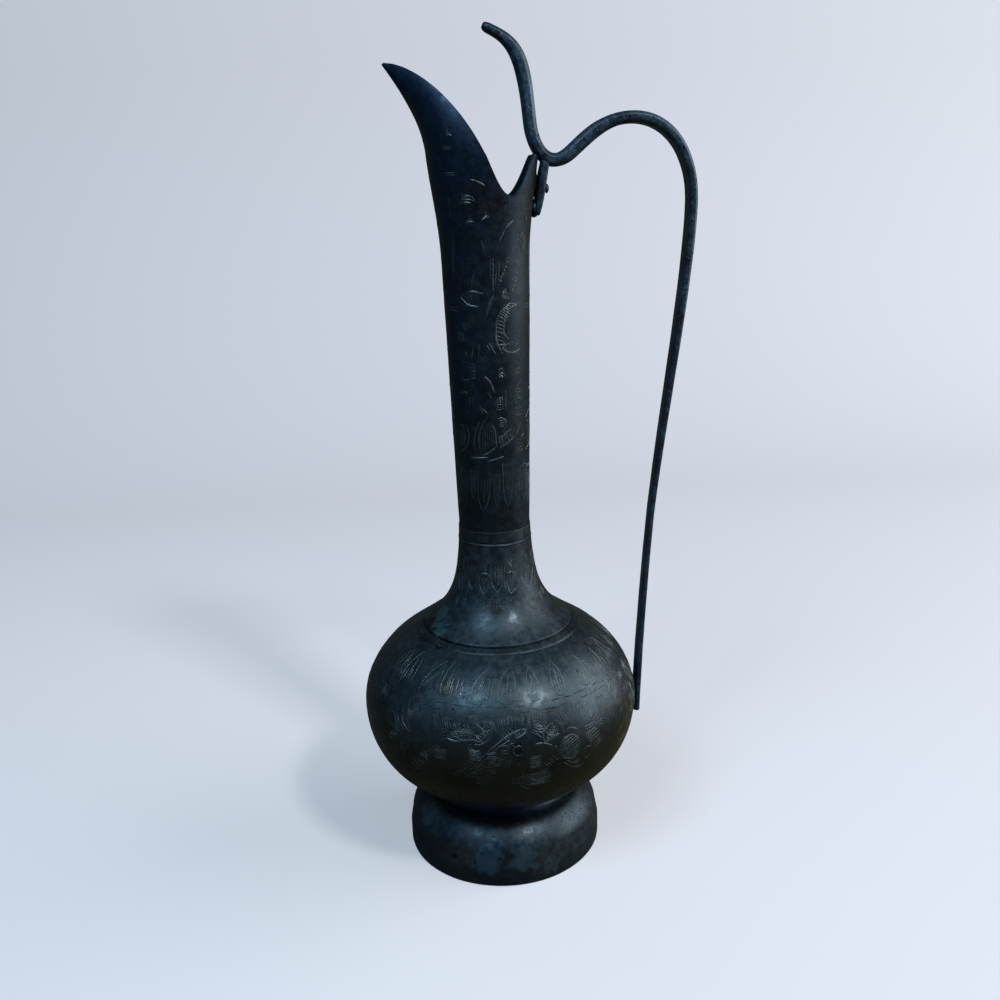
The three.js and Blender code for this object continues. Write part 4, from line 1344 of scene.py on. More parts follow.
class EwerFormSettings(PropertyGroup):
    """How finely and how unevenly the pieces are made."""

    sides: IntProperty(name="Sides", description="Faces round a turned piece", default=176, min=24, max=360)
    dent_depth: FloatProperty(
        name="Dent depth", description="How far the raised metal strays from true", default=0.00016, min=0,
        max=0.001, precision=5, unit="LENGTH",
    )
    dent_scale: FloatProperty(
        name="Dent scale", description="Dents in each metre", default=46.0, min=1, max=400,
    )


class EwerChasingSettings(PropertyGroup):
    """The chased ornament."""

    line_width: FloatProperty(
        name="Line width", description="Width of every chased line", default=1.0, min=0.2, max=3,
    )
    seed: IntProperty(name="Seed", description="Changes the hand of the chaser", default=11, min=0)
    petals: IntProperty(
        name="Shoulder petals", description="Petals round the shoulder", default=27, min=6, max=60,
    )


def tone_setting(name, about, tone):
    return FloatVectorProperty(
        name=name, description=about, subtype="COLOR", size=3, default=tone, min=0, max=1,
    )


class EwerColourSettings(PropertyGroup):
    """Colours of the metal."""

    shade: tone_setting("Shade", "Darkest tone of the patina", (0.013, 0.021, 0.026))
    patina: tone_setting("Patina", "Main tone of the patina", (0.032, 0.05, 0.06))
    bloom: tone_setting("Bloom", "Palest tone of the patina", (0.068, 0.1, 0.12))
    verdigris: tone_setting("Verdigris", "Tone of the green patches", (0.035, 0.13, 0.15))
    burr: tone_setting("Burr", "Tone of the bright sides of the chased lines", (0.26, 0.33, 0.35))


class EwerSettings(PropertyGroup):
    """All settings of the ewer."""

    form: PointerProperty(type=EwerFormSettings, name="Form", description="Making of the pieces")
    chasing: PointerProperty(type=EwerChasingSettings, name="Chasing", description="The chased ornament")
    colour: PointerProperty(type=EwerColourSettings, name="Colour", description="Colours of the metal")


def surface_inputs(context, material):
    form = context.scene.ewer.form
    finish = bpy.data.materials[material]
    return {"Dent depth": form.dent_depth, "Dent scale": form.dent_scale, "Finish": finish}


def turned_piece(context, name, profile, closed, material, slot, node):
    """One turned piece from its profile of radius and height, settled in the place of its node."""
    points = [(radius, 0, level) for radius, level in (profile + profile[:1] if closed else profile)]
    inputs = surface_inputs(context, material)
    inputs["Sides"] = context.scene.ewer.form.sides
    inputs["Axis X"] = AXIS_X
    settle(grown(name, wire_of(name + "_profile", points), "Turned surface", inputs), slot, node)


def dented_piece(context, name, seed, material, slot, node):
    """One piece from a ready surface, settled in the place of its node."""
    settle(grown(name, seed, "Dented surface", surface_inputs(context, material)), slot, node)


def chased_piece(context, name, chaser, material="chased brass"):
    """Turns the lines of a chaser into one piece."""
    section = [(lift * MM, across * MM, 0) for lift, across in CHASED_SECTION]
    ring = [(i, (i + 1) % len(section)) for i in range(len(section))]
    profile = linked("section", mesh_of("section", section, [], ring))
    inputs = surface_inputs(context, material)
    inputs["Profile"] = profile
    inputs["Line width"] = context.scene.ewer.chasing.line_width
    piece = grown(name, chaser.wire(name + "_wire"), "Chased lines", inputs)
    bpy.data.objects.remove(profile)
    settle(piece, "dark_brass")


# Ornament of one panel of the neck and of the belly, given one by one. Each panel goes round three times.
# A stroke holds its weight, then the turn in degrees and the level in millimetres of each of its places.
# A field holds its weight, its count of fine strokes, and its two edges written like a stroke's places.
# A patch holds its turn and level, its width in degrees, its height in millimetres and its count of strokes.

NECK_STROKES = (
    # Sprigs under the mouth
    (0.7, -43, 304, -48, 294, -49, 285), (1, -7, 301.5, -5, 298, -1, 294.5),
    (1.2, 34, 309, 23, 305.5, 15.5, 300.5), (1, -18, 288, -22, 281.5),
    # Upright stalks
    (0.9, 6.5, 294, 5.5, 279.5), (0.8, 11, 289, 8, 282), (0.6, 14.5, 292.5, 13.5, 284.5),
    (0.6, 3.5, 293.5, 2.5, 285),
    # Long blade beside the crescent
    (1, 7.5, 279, 1, 273.5, -5.5, 268.5), (1, 5, 278, 0, 274.5, -4, 271),
    # Eye
    (1.3, -38, 277.5, -28, 274.5, -13.5, 273.5), (1, -38, 277.5, -30, 279.5, -19, 280, -7, 279),
    (0.8, -23, 280.5, -7, 279),
    # Crescent: its back, its hollow side, its tip and its foot
    (1.2, 29, 274.5, 15.5, 271, 9, 266, 8.5, 258.5, 16.5, 253), (1, 29.5, 274, 22, 269, 19, 262.5, 25.5, 259),
    (1, 30, 274.5, 39.5, 273.5, 31, 273), (1.3, 16, 255.5, 21, 254, 28, 253, 36.5, 253, 44.5, 254),
    # Cut marks round the neck
    (0.9, -67.5, 272, -43, 271.5), (0.8, -61.5, 273, -42.5, 273),
    # Short cuts under the eye and the crescent
    (1, -2, 258, 6.5, 253), (0.8, -5, 257, -1.5, 255), (1, -34, 254.5, -37, 250.5),
    (0.9, -22, 258, -27, 250.5),
    (0.7, -15, 257.5, -17.5, 249), (0.7, -21.5, 249.5, -23.5, 242),
    (1.3, -44, 241, -32.5, 241.5), (1.3, -52, 234.5, -43, 235.5, -36.5, 235.5, -39, 234),
    (1.2, -9, 243, -2, 240.5, 3.5, 235.5), (1, -6, 236, -1.5, 233.5), (1.5, 27, 238, 27, 235.5),
    # Leaf at the right and the stem beside it
    (1, 46.5, 240, 38, 236.5, 34.5, 232, 38.5, 230, 44, 228.5), (0.9, 47.5, 239.5, 50.5, 234.5, 47, 230),
    (0.7, 20, 237.5, 19.5, 226.5), (0.9, -32.5, 234, -33.5, 229), (0.8, -28, 233, -28, 229.5),
    (1, -19, 231, -13.5, 226), (1, -13.5, 228.5, -6.5, 226), (0.8, -37, 228, -34, 226),
    # Dome
    (1.1, -6.5, 225, -15.5, 221, -21.5, 214.5, -19.5, 207.5), (1.2, -1, 221.5, 2.5, 218, 4.5, 210.5),
    (0.9, -18.5, 223.5, -26, 218, -29.5, 212, -28, 208), (1.5, -17.5, 207, -8, 208, 2.5, 210.5),
    # Boat
    (1.5, 46, 220.5, 37, 216, 23, 212.5, 9.5, 210.5), (1, 36.5, 223.5, 29.5, 220, 18, 216.5, 7, 214.5),
    (0.9, 35.5, 228, 43, 224.5, 50.5, 221.5), (1, 6.5, 223.5, 12, 224, 18, 223, 20, 220.5, 14, 217.5),
    # Rounded leaf at the left
    (1.1, -42, 221, -37.5, 217, -39, 213, -44, 210, -60, 207), (0.8, -57, 219.5, -50, 220.5, -46, 218.5),
    # Line over the pendants
    (1.3, -37.5, 205.5, -9, 206), (1.3, -10, 204, 1.5, 205, 14.5, 206),
    (0.8, 46, 219, 52.5, 215.5, 45.5, 214), (0.7, -49, 225.5, -61, 222),
)

NECK_FIELDS = (
    # Bud over the crescent, then the crescent's back and foot
    (0.8, 7, (18.5, 280, 16, 278.5, 18.5, 276.5), (24.5, 281, 25.5, 279, 29, 276.5)),
    (1.1, 13, (22, 274.5, 13.5, 271, 9, 266, 8.5, 258.5), (32.5, 272.5, 25, 268, 20.5, 263, 20, 257.5)),
    (1, 7, (9, 257.5, 11.5, 254.5, 17, 252, 24, 251.5), (20.5, 257, 26, 257.5, 32, 258.5, 36, 258.5)),
    (0.9, 5, (27, 251.5, 33, 251.5, 39.5, 252.5), (39, 258.5, 43, 257.5, 46.5, 256)),
    # Eye and the blade under it
    (0.9, 6, (-33, 278.5, -25, 279.5, -13, 279.5), (-27, 275, -18, 274, -11.5, 274.5)),
    (1.2, 4, (-39.5, 267, -26.5, 267.5), (-35.5, 263, -25.5, 264.5)),
    # Leaf at the right, dome and boat
    (0.8, 4, (38, 236.5, 36, 232), (48.5, 236, 47.5, 231)),
    (0.7, 8, (-18, 220, -15.5, 221, -3, 223.5, -1.5, 221.5), (-20.5, 211, -17, 208.5, -6, 209.5, 2, 211.5)),
    (0.9, 9, (6.5, 216, 14, 217.5, 30, 220.5, 38, 223.5), (9, 210.5, 18, 212, 33.5, 215.5, 45, 220)),
    (0.6, 7, (4.5, 214.5, 9, 210.5), (26, 219.5, 38, 216.5)),
)

NECK_PATCHES = (
    (-42.5, 260.5, 12.5, 4.5, 6), (14.5, 244.5, 8.5, 4, 6), (40.5, 244.5, 13, 2.5, 5), (13, 221.5, 8.5, 3, 4),
    (-50, 214.5, 13, 9, 7), (43.5, 210, 20, 6, 6), (-27, 245.5, 9.5, 7.5, 5), (10, 230.5, 11.5, 6, 6),
    (41, 226, 12, 4.5, 5),
)

BELLY_STROKES = (
    # Long branch with its two edges and its foot
    (1.2, -16, 74, -10, 82.5, -6, 87, 0, 92, 5, 94), (1.1, -14.5, 73.5, -9, 81.5, -4.5, 86.5, 0.5, 90),
    (0.9, -17, 72.5, -13.5, 74.5),
    # Leaf at the branch's end and the sprigs beside it
    (1.2, 2.5, 93, 5, 94, 7.5, 93.5), (1.2, 3, 90.5, 5.5, 91.5, 7, 93), (1.3, 23.5, 90.5, 26, 90.5, 28.5, 89),
    (1, 16.5, 87, 18, 89, 20.5, 89.5), (1, 10, 87, 13, 87, 17, 85),
    # Round flower
    (1.1, 20, 82, 20.5, 85.5, 22.5, 87, 25.5, 87.5, 28, 85.5, 29, 81.5, 28, 77, 25.5, 76, 21.5, 77.5, 20, 82),
    # Cuts under the petals, from left to right
    (0.8, -71.5, 96.5, -65, 98), (0.9, -34, 99, -28.5, 100.5, -28, 96), (0.8, -35.5, 96.5, -34, 92.5),
    (1, -32, 90, -31.5, 86.5), (1.1, -23, 99.5, -18, 99.5, -14.5, 100), (1, -13, 99, -12, 95),
    (1, -11, 104, -13.5, 100.5), (0.8, -6, 101, -1, 101), (0.8, 2.5, 104.5, 8.5, 104), (1, 9, 101.5, 8.5, 95),
    (0.9, 10, 101.5, 14.5, 100), (1.3, 13, 100, 17.5, 100, 23.5, 99.5), (1.2, 13.5, 99, 22.5, 98.5),
    (0.9, 15.5, 99, 15.5, 96, 14.5, 93),
    # Two long leaves left of the branch
    (0.9, -23, 92.5, -17.5, 93, -13, 92, -10, 89), (0.9, -22, 91, -17.5, 89.5, -13, 90, -10, 88.5),
    (0.9, -14, 97.5, -9.5, 93.5, -10, 89), (1, 22, 94.5, 22, 91.5, 22.5, 89.5),
    # Small bud and stems low on the right
    (1, 31, 78, 32.5, 79.5, 35, 77, 34, 74, 31.5, 73.5, 31, 78),
    (1.1, 21.5, 75, 25, 71.5, 29, 69.5, 31, 71.5),
    (0.9, 23, 75.5, 26, 73, 29, 73.5), (1, 4, 79, 3, 77), (1, -0.5, 85.5, 0.5, 88, 2, 88.5),
    (0.8, 26.5, 69.5, 29, 61), (0.9, 16, 81.5, 18, 84.5, 19, 82.5),
    # Cuts at the two ends of the panel
    (0.8, 41, 93.5, 41.5, 89.5, 39, 86), (0.8, 42.5, 89, 42.5, 84.5), (0.8, 46.5, 89.5, 44.5, 85),
    (0.9, -56, 88, -46, 86), (0.9, -51, 90.5, -47.5, 90, -45, 87.5),
    # Bracket under the panel
    (0.9, 3.5, 71.5, 3.5, 68.5, 5, 65, 8, 63.5), (0.8, -14, 72, -17, 72),
)

BELLY_FIELDS = (
    # Slanted bands at the left end
    (1, 17, (-45.5, 96, -43.5, 89.5, -41.5, 82.5), (-40.5, 98.5, -38, 92, -35.5, 85.5)),
    (0.9, 9, (-38.5, 93.5, -37, 87.5), (-35.5, 95, -33.5, 90)),
    (0.7, 8, (-51, 96.5, -47, 91.5), (-46, 99, -43, 94)),
    (0.8, 9, (-45, 97.5, -40, 99), (-43, 93, -38.5, 95)),
    (0.7, 6, (-55.5, 87, -52.5, 81.5), (-47.5, 90, -45.5, 84.5)),
    # Under the branch
    (1, 11, (-8.5, 84.5, -8.5, 77, -7.5, 73.5), (-5, 85, -5, 78, -5, 74.5)),
    (0.8, 7, (-22, 92.5, -13, 92), (-21, 91, -12.5, 90)), (0.9, 6, (2.5, 93, 7, 93.5), (3, 90.5, 6, 91.5)),
    # Fan over the round flower and the band right of it
    (1, 14, (23.5, 97, 26.5, 100, 34, 99.5, 38.5, 95.5, 42, 88.5),
        (25, 93.5, 27.5, 96, 32, 95.5, 35, 92, 36.5, 87)),
    (1.2, 9, (31.5, 89, 32.5, 82.5, 36, 76.5), (36.5, 89.5, 39, 83.5, 40.5, 78.5)),
    (0.8, 8, (31.5, 89, 36.5, 89.5), (36, 76.5, 40.5, 78.5)),
    # Round flower
    (1.4, 9, (20.5, 85, 20, 82, 21.5, 77.5, 25, 76), (24.5, 88, 28, 85.5, 29, 81.5, 28, 78)),
    (0.8, 7, (21.5, 86.5, 25.5, 87.5, 28.5, 84.5), (20.5, 81, 23.5, 76.5, 28, 77)),
    # Short rows between the petals and the panel
    (0.9, 8, (9.5, 97, 10.5, 94, 12, 92), (12, 97, 13.5, 94.5, 15, 91.5)),
    (0.9, 7, (13, 100, 22.5, 99.5), (14, 98.5, 22.5, 98)),
    (0.8, 6, (-33.5, 98, -33, 95), (-29.5, 99.5, -28.5, 96.5)),
    (0.8, 6, (-17, 101, -16, 99), (-14, 101.5, -13.5, 99.5)),
    (0.7, 8, (-10.5, 98.5, -6, 98), (-9.5, 93.5, -4.5, 93.5)),
    (0.7, 9, (-4.5, 99, 6.5, 100), (-3.5, 96, 7, 97)),
    (0.7, 7, (-26.5, 96.5, -19.5, 96.5), (-25, 93.5, -18.5, 94)),
    (0.8, 6, (38.5, 106, 45, 104.5), (36, 101, 41.5, 99)),
    (0.8, 8, (42.5, 92, 47.5, 89), (40.5, 87, 45.5, 84)),
    # Low on the panel
    (0.8, 6, (23, 83, 27.5, 80), (22.5, 77.5, 27, 74.5)),
    (0.7, 7, (19.5, 76.5, 26, 70), (18.5, 70.5, 25.5, 63)),
    (0.7, 7, (-3.5, 84, 1, 82), (-4, 78, 0, 76.5)),
)

BELLY_PATCHES = (
    (-13, 83, 5, 5, 8), (10, 78.5, 5, 6, 9), (10.5, 69, 12, 7, 13), (-27, 81.5, 5, 5.5, 7),
)


# Operators, one for each piece or group of like pieces


class EWER_OT_finishes(Operator):
    """Build the shared trees and the finishes"""

    bl_idname = "ewer.finishes"
    bl_label = "Finishes"

    def execute(self, context):
        hand_raised_tree()
        for build in (
            turned_tree, skin_tree, chased_tree, punched_tree, lump_tree,
            clouds_group, pits_group, hairlines_group, patch_group,
        ):
            build()
        colours = context.scene.ewer.colour
        dark, middle, light = (tuple(tone) for tone in (colours.shade, colours.patina, colours.bloom))
        teal, black = tuple(colours.verdigris), (0.008, 0.009, 0.009)
        seam = (
            stain_and_light_patch(-70, 126, 28, 7, teal, 0.7), stain_and_light_patch(-60, 121.5, 33, 6.5, teal, 0.85),
            # The black patches along the groove at the collar's foot, on its left side, are dirt and painted
            # shade
            stain_and_light_patch(-66, 119.5, 37, 5, black, 0.9), stain_and_light_patch(-46, 119.5, 37, 5, black, 0.9),
            stain_and_light_patch(-78, 121.5, 34, 6, black, 0.8),
        )
        belly_tones = (tinted(dark, 1.3, 0.95), tinted(middle, 0.88, 0.97), tinted(light, 0.8, 0.95))
        belly_stains_and_painted_light = (
            *seam,
            # The black patches at turns -66, -44 and -20 paint shade on the dark left side and low down; the
            # warm patch at turn 66 paints a reflection of a wooden table on the lower right
            stain_and_light_patch(-66, 84, 67, 20, black, 0.65), stain_and_light_patch(66, 72, 65, 17, (0.09, 0.085, 0.042), 0.5),
            stain_and_light_patch(3.3, 85, 67, 4.4, black, 1.0), stain_and_light_patch(-30, 106, 55, 6, black, 0.6),
            stain_and_light_patch(-44, 72, 66, 12, black, 0.7), stain_and_light_patch(-20, 68, 66, 9, black, 0.6),
            stain_and_light_patch(18, 74, 67, 8, black, 0.5), stain_and_light_patch(-35, 101, 60, 9, light, 0.5),
        )
        brass_finish(
            "belly brass", *belly_tones, roughness=(0.3, 0.5), bloom_share=0.35, table_reflection_below=TABLE_REFLECTION_LEVEL,
            patches=belly_stains_and_painted_light,
        )
        brass_finish("collar brass", dark, tinted(middle, 0.9, 0.9), light, turned=0.35, patches=seam + (
            stain_and_light_patch(0, 162, 0, 24, black, 0.45),
            stain_and_light_patch(-3, 134, 23, 3.4, black, 0.8), stain_and_light_patch(14, 130, 26, 2.6, light, 0.7),
        ))
        # The neck's tones are cooled towards blue: partly the patina's own tone, partly a painted reflection
        # of blue light
        neck_tones = (tinted(dark, 0.7, 0.78), tinted(middle, 0.48, 0.85), tinted(light, 0.4, 0.88))
        brass_finish("neck brass", *neck_tones, hairs=0.52, pits=0.45, patches=(
            # The two blue patches on the left side paint a reflection of blue light
            stain_and_light_patch(-60, 350, 40, 62, (0.006, 0.022, 0.055), 0.6),
            stain_and_light_patch(-90, 250, 20, 30, (0.006, 0.02, 0.045), 0.5),
            stain_and_light_patch(-12, 318, 22, 8, black, 0.5), stain_and_light_patch(14, 316, 22, 5, black, 0.7),
            stain_and_light_patch(-30, 185, 17, 9, black, 0.5), stain_and_light_patch(20, 176, 17, 8, black, 0.5),
        ))
        foot_tones = (tinted(dark, 0.9, 0.75), tinted(middle, 0.8, 0.95), tinted(light, 0.75, 1.0))
        foot_stains_and_painted_light = (
            # The two blue patches at the front paint a reflection of light on the lit front of the foot
            stain_and_light_patch(-14, 14, 48, 10, (0.05, 0.11, 0.18), 0.6),
            stain_and_light_patch(8, 15, 48, 9, (0.06, 0.11, 0.15), 0.55),
            stain_and_light_patch(-39, 19, 47, 1.4, black, 1.0), stain_and_light_patch(-34, 12.7, 48, 1.2, black, 1.0),
            stain_and_light_patch(-21, 12.3, 48, 1.3, black, 1.0), stain_and_light_patch(-62, 24, 42, 9, light, 0.55),
            # The black patch at the top of the foot's front, first on the next line, paints the shadow in the
            # recess under the belly
            stain_and_light_patch(0, 30.5, 34, 9, black, 0.5), stain_and_light_patch(24, 8, 48, 6, light, 0.4),
        )
        brass_finish(
            "foot brass", *foot_tones, scale=24.0, pits=0.62, turned=0.2, painted_shade_below=FOOT_BAND_HEIGHT,
            patches=foot_stains_and_painted_light,
        )
        # The strap's tones are cooled towards blue and its palest tone raised: partly the patina's own tone,
        # partly a painted reflection of blue light
        strap_tones = (tinted(dark, 0.8, 0.68), tinted(middle, 0.9, 0.75), tinted(light, 1.4, 0.85))
        brass_finish(
            "strap brass", *strap_tones, scale=48.0, bloom_share=0.6, pits=0.72, hairs=0.62, metallic=0.6,
        )
        solder_tones = (dark, tinted(middle, 0.8), tinted(light, 0.8))
        brass_finish("aged solder", *solder_tones, roughness=(0.32, 0.55), scale=60.0)
        for name, strength in (("chased brass", 0.8), ("worn brass lines", 0.6), ("punched brass", 0.6)):
            chased_finish(name, black, tinted(tuple(colours.burr), strength))
        return {"FINISHED"}


class EWER_OT_foot(Operator):
    """Make the ring foot and the solder above it"""

    bl_idname = "ewer.foot"
    bl_label = "Foot"

    def execute(self, context):
        profile = foot_profile()
        turned_piece(context, "foot_casting", profile, True, "foot brass", "foot_brass", "foot")
        profile = foot_solder_profile()
        turned_piece(context, "foot_solder_ring", profile, True, "aged solder", "solder", "foot_solder")
        return {"FINISHED"}


class EWER_OT_belly(Operator):
    """Make the two bowls of the belly"""

    bl_idname = "ewer.belly"
    bl_label = "Belly"

    def execute(self, context):
        profile = lower_bowl_profile()
        turned_piece(context, "lower_bowl_raising", profile, False, "belly brass", "dark_brass", "lower_bowl")
        profile = upper_bowl_profile()
        turned_piece(context, "upper_bowl_raising", profile, True, "belly brass", "dark_brass", "upper_bowl")
        return {"FINISHED"}


class EWER_OT_collar(Operator):
    """Make the neck collar and the solder band round its skirt"""

    bl_idname = "ewer.collar"
    bl_label = "Collar"

    def execute(self, context):
        profile = collar_profile()
        turned_piece(context, "collar_bell", profile, True, "collar brass", "dark_brass", "neck_collar")
        profile = collar_solder_profile()
        turned_piece(context, "collar_solder_band", profile, True, "aged solder", "solder", "collar_solder")
        return {"FINISHED"}


class EWER_OT_neck(Operator):
    """Make the neck with its mouth, beak spout and rear tab"""

    bl_idname = "ewer.neck"
    bl_label = "Neck and spout"

    def execute(self, context):
        seed = neck_mesh(context.scene.ewer.form.sides)
        dented_piece(context, "neck_and_spout", seed, "neck brass", "dark_brass", "neck_spout")
        return {"FINISHED"}


class EWER_OT_handle(Operator):
    """Make the forged strap of the handle"""

    bl_idname = "ewer.handle"
    bl_label = "Handle"

    def execute(self, context):
        seed = bar_mesh("strap_seed", strap_line(), STRAP_ARRIS, STRAP_NOSE, STRAP_TOE)
        dented_piece(context, "handle_strap", seed, "strap brass", "strap_brass", "handle")
        return {"FINISHED"}


class EWER_OT_fastenings(Operator):
    """Make the handle's leg, its rivet and the solder at the leg's foot and round the tail"""

    bl_idname = "ewer.fastenings"
    bl_label = "Leg, rivet and solder"

    def execute(self, context):
        seed = bar_mesh("leg_seed", leg_line(), LEG_ARRIS, LEG_NOSE, LEG_TOE)
        dented_piece(context, "leg_plate", seed, "strap brass", "strap_brass", "handle_bracket")
        seed = softened_seed("handle_rivet", RIVET_VOXEL, RIVET_SMOOTHING)
        dented_piece(context, "leg_rivet", seed, "strap brass", "strap_brass", "handle_rivet")
        lumps = (
            ("leg_solder_lump", "bracket_solder", ((21.8, 313.2, 1.9, 4.0, 3.9), (22.9, 321.5, 0.8, 3.3, 8))),
            ("tail_solder_pad", "tail_solder", ((66.9, 76.5, 1.5, 5.2, 9.0),)),
        )
        for name, node, lumps_of_it in lumps:
            seed = mesh_of(name, [(AXIS_X + x * MM, 0, level * MM) for x, level, *_ in lumps_of_it], [])
            carry(seed, "size", [part * MM for _, _, *size in lumps_of_it for part in size])
            lump = grown(name, seed, "Solder lump", surface_inputs(context, "aged solder"))
            settle(lump, "solder", node)
        return {"FINISHED"}


class EWER_OT_punching(Operator):
    """Punch the rows of dots along the handle's arch"""

    bl_idname = "ewer.punching"
    bl_label = "Punch marks"

    def execute(self, context):
        rng = random.Random(context.scene.ewer.chasing.seed)
        points, lifts, sizes = [], [], []
        for i, (point, along, (width, over, under)) in enumerate(strap_line()):
            if i not in PUNCHED_STEPS or i % 2:
                continue
            down = Vector((along.y, 0, -along.x))
            middle = Vector((point.x + AXIS_X, 0, point.y))
            for side in (-1, 1):
                if rng.random() < 0.35:
                    continue
                reach = mix(-over, under, rng.uniform(0.3, 0.7))
                points.append(middle + down * reach + Vector((0, side * width / 2, 0)))
                lifts.append((0, side, 0))
                sizes.append(rng.uniform(0.6, 1.25))
        seed = mesh_of("punched_seed", points, [])
        carry(seed, "lift", [part for lift in lifts for part in lift])
        carry(seed, "width", sizes)
        inputs = surface_inputs(context, "punched brass")
        inputs["Mark radius"] = PUNCH_RADIUS
        settle(grown("handle_punch_marks", seed, "Punch marks", inputs), "strap_brass")
        return {"FINISHED"}


class EWER_OT_neck_chasing(Operator):
    """Chase the ornament of the neck and the lower spout"""

    bl_idname = "ewer.neck_chasing"
    bl_label = "Neck chasing"

    def execute(self, context):
        chaser = Chaser(neck_skin, lambda level: level, context.scene.ewer.chasing.seed)
        for side in PANEL_TURNS:
            self.panel(chaser, side)
        self.spout(chaser)
        chased_piece(context, "neck_chasing", chaser)
        return {"FINISHED"}

    def panel(self, chaser, side):
        """One of three like panels round the neck."""
        rng, put = chaser.rng, chaser.motif
        for weight, *places in NECK_STROKES:
            chaser.stroke(side, places, weight)
        for weight, count, left, right in NECK_FIELDS:
            chaser.field(side, left, right, count, weight)
        for patch in NECK_PATCHES:
            chaser.patch(side, *patch, weight=0.45)
        put(tuft(rng, 4, 3, 50), side - 25, 308.5, 60)
        put(tuft(rng, 4.5, 3, 36), side - 6, 309.5, 55)
        put(ring_mark(1.0), side + 27, 293)
        put(bead_chain((-3.4, -7.2), 6), side + 26, 291.5)
        put(bead_chain((-2.8, -7), 5), side + 42, 287)
        for turn, level, width, height, lean in (
            (-15, 199.5, 6.4, 19, 4), (20.5, 203, 5.2, 21, 0), (-50, 200, 4.6, 19, 5), (52, 201, 5, 18, -3),
            (3, 198, 3, 15, 0), (-33, 200, 2.6, 14, 3), (37, 199, 2.8, 15, -2),
        ):
            put(pendant(rng, width, height), side + turn, level, lean, weight=0.75)

    def spout(self, chaser):
        """The fewer marks of the mouth and the lower spout."""
        rng, put = chaser.rng, chaser.motif
        for side, flip in ((0, 1), (180, -1)):
            put(tuft(rng, 3.6, 3, 60), side - flip * 30, 344, 75)
            put(hatch(rng, (0, 0), (0, 1.8), lambda share: (-2.6, 2.8), 2), side - flip * 36, 338)
            put(hatch(rng, (0, 0), (0, 1.6), lambda share: (-2.4, 2.2), 2), side - flip * 38, 327.5)
            put(stem((-2.8, 1.2), (0, 0.6), (3, -1.4)), side - flip * 8, 324.5, weight=1.2)
            put(tuft(rng, 5.5, 4, 70), side - flip * 30, 316, 50)
            put(crescent(rng, 3.4, 1.4, 20, 150, 4), side - flip * 20, 316)
            put(stem((0, 0), (0.4, -4), (-0.4, -8)), side - flip * 44, 319)
            put(leaf(rng, 4.4, 8, 4), side + flip * 52, 296, 0)
            put(tuft(rng, 5, 3, 40), side + flip * 60, 306, -30)


COLLAR_LEAVES = 9


class EWER_OT_collar_chasing(Operator):
    """Chase the pendant leaves of the collar"""

    bl_idname = "ewer.collar_chasing"
    bl_label = "Collar chasing"

    def execute(self, context):
        skin, run_at = turned_skin(collar_outside())
        chaser = Chaser(skin, run_at, context.scene.ewer.chasing.seed + 1)
        rng, put = chaser.rng, chaser.motif
        for i in range(COLLAR_LEAVES):
            turn = 1 + 360 / COLLAR_LEAVES * i
            height = rng.uniform(14.5, 16.5)
            put(pendant(rng, 7.4, height), turn, 156.8, rng.uniform(-4, 4), weight=1.05)
            put(hatch(rng, (-2.2, 0), (2.2, 0), lambda share: (-6.5, 0), 4), turn, 153)
            put(petal(rng, 5.2, 9.6, 3), turn + 19, 149.6, 180 + rng.uniform(-6, 6))
            put(tuft(rng, 7, 4, 34), turn + 21, 150, 0)
            put(tuft(rng, 5, 3, 30), turn + 21, 133, rng.uniform(-8, 8), weight=0.4)
            if i % 2:
                put(stem((0, 0), (4, 2.6), (7, 8)), turn + 3, 140.6)
            put(hatch(rng, (-1.8, 0), (1.8, 0), lambda share: (0, 4.2), 4), turn - 8, 134, weight=0.6)
        chased_piece(context, "collar_chasing", chaser)
        return {"FINISHED"}


PETAL_HEIGHT = 16.5
PETAL_LEVEL = 104.2
BORDER_LINES = ((102.4, 0.85), (100.2, 0.8), (97.4, 0.45))    # level, and the chance of each dash
BORDER_RADIUS = 60 * MM
BORDER_HATCHES = 34
BORDER_HATCH_LEVEL = 99.8
GROUND_PATCHES = 210


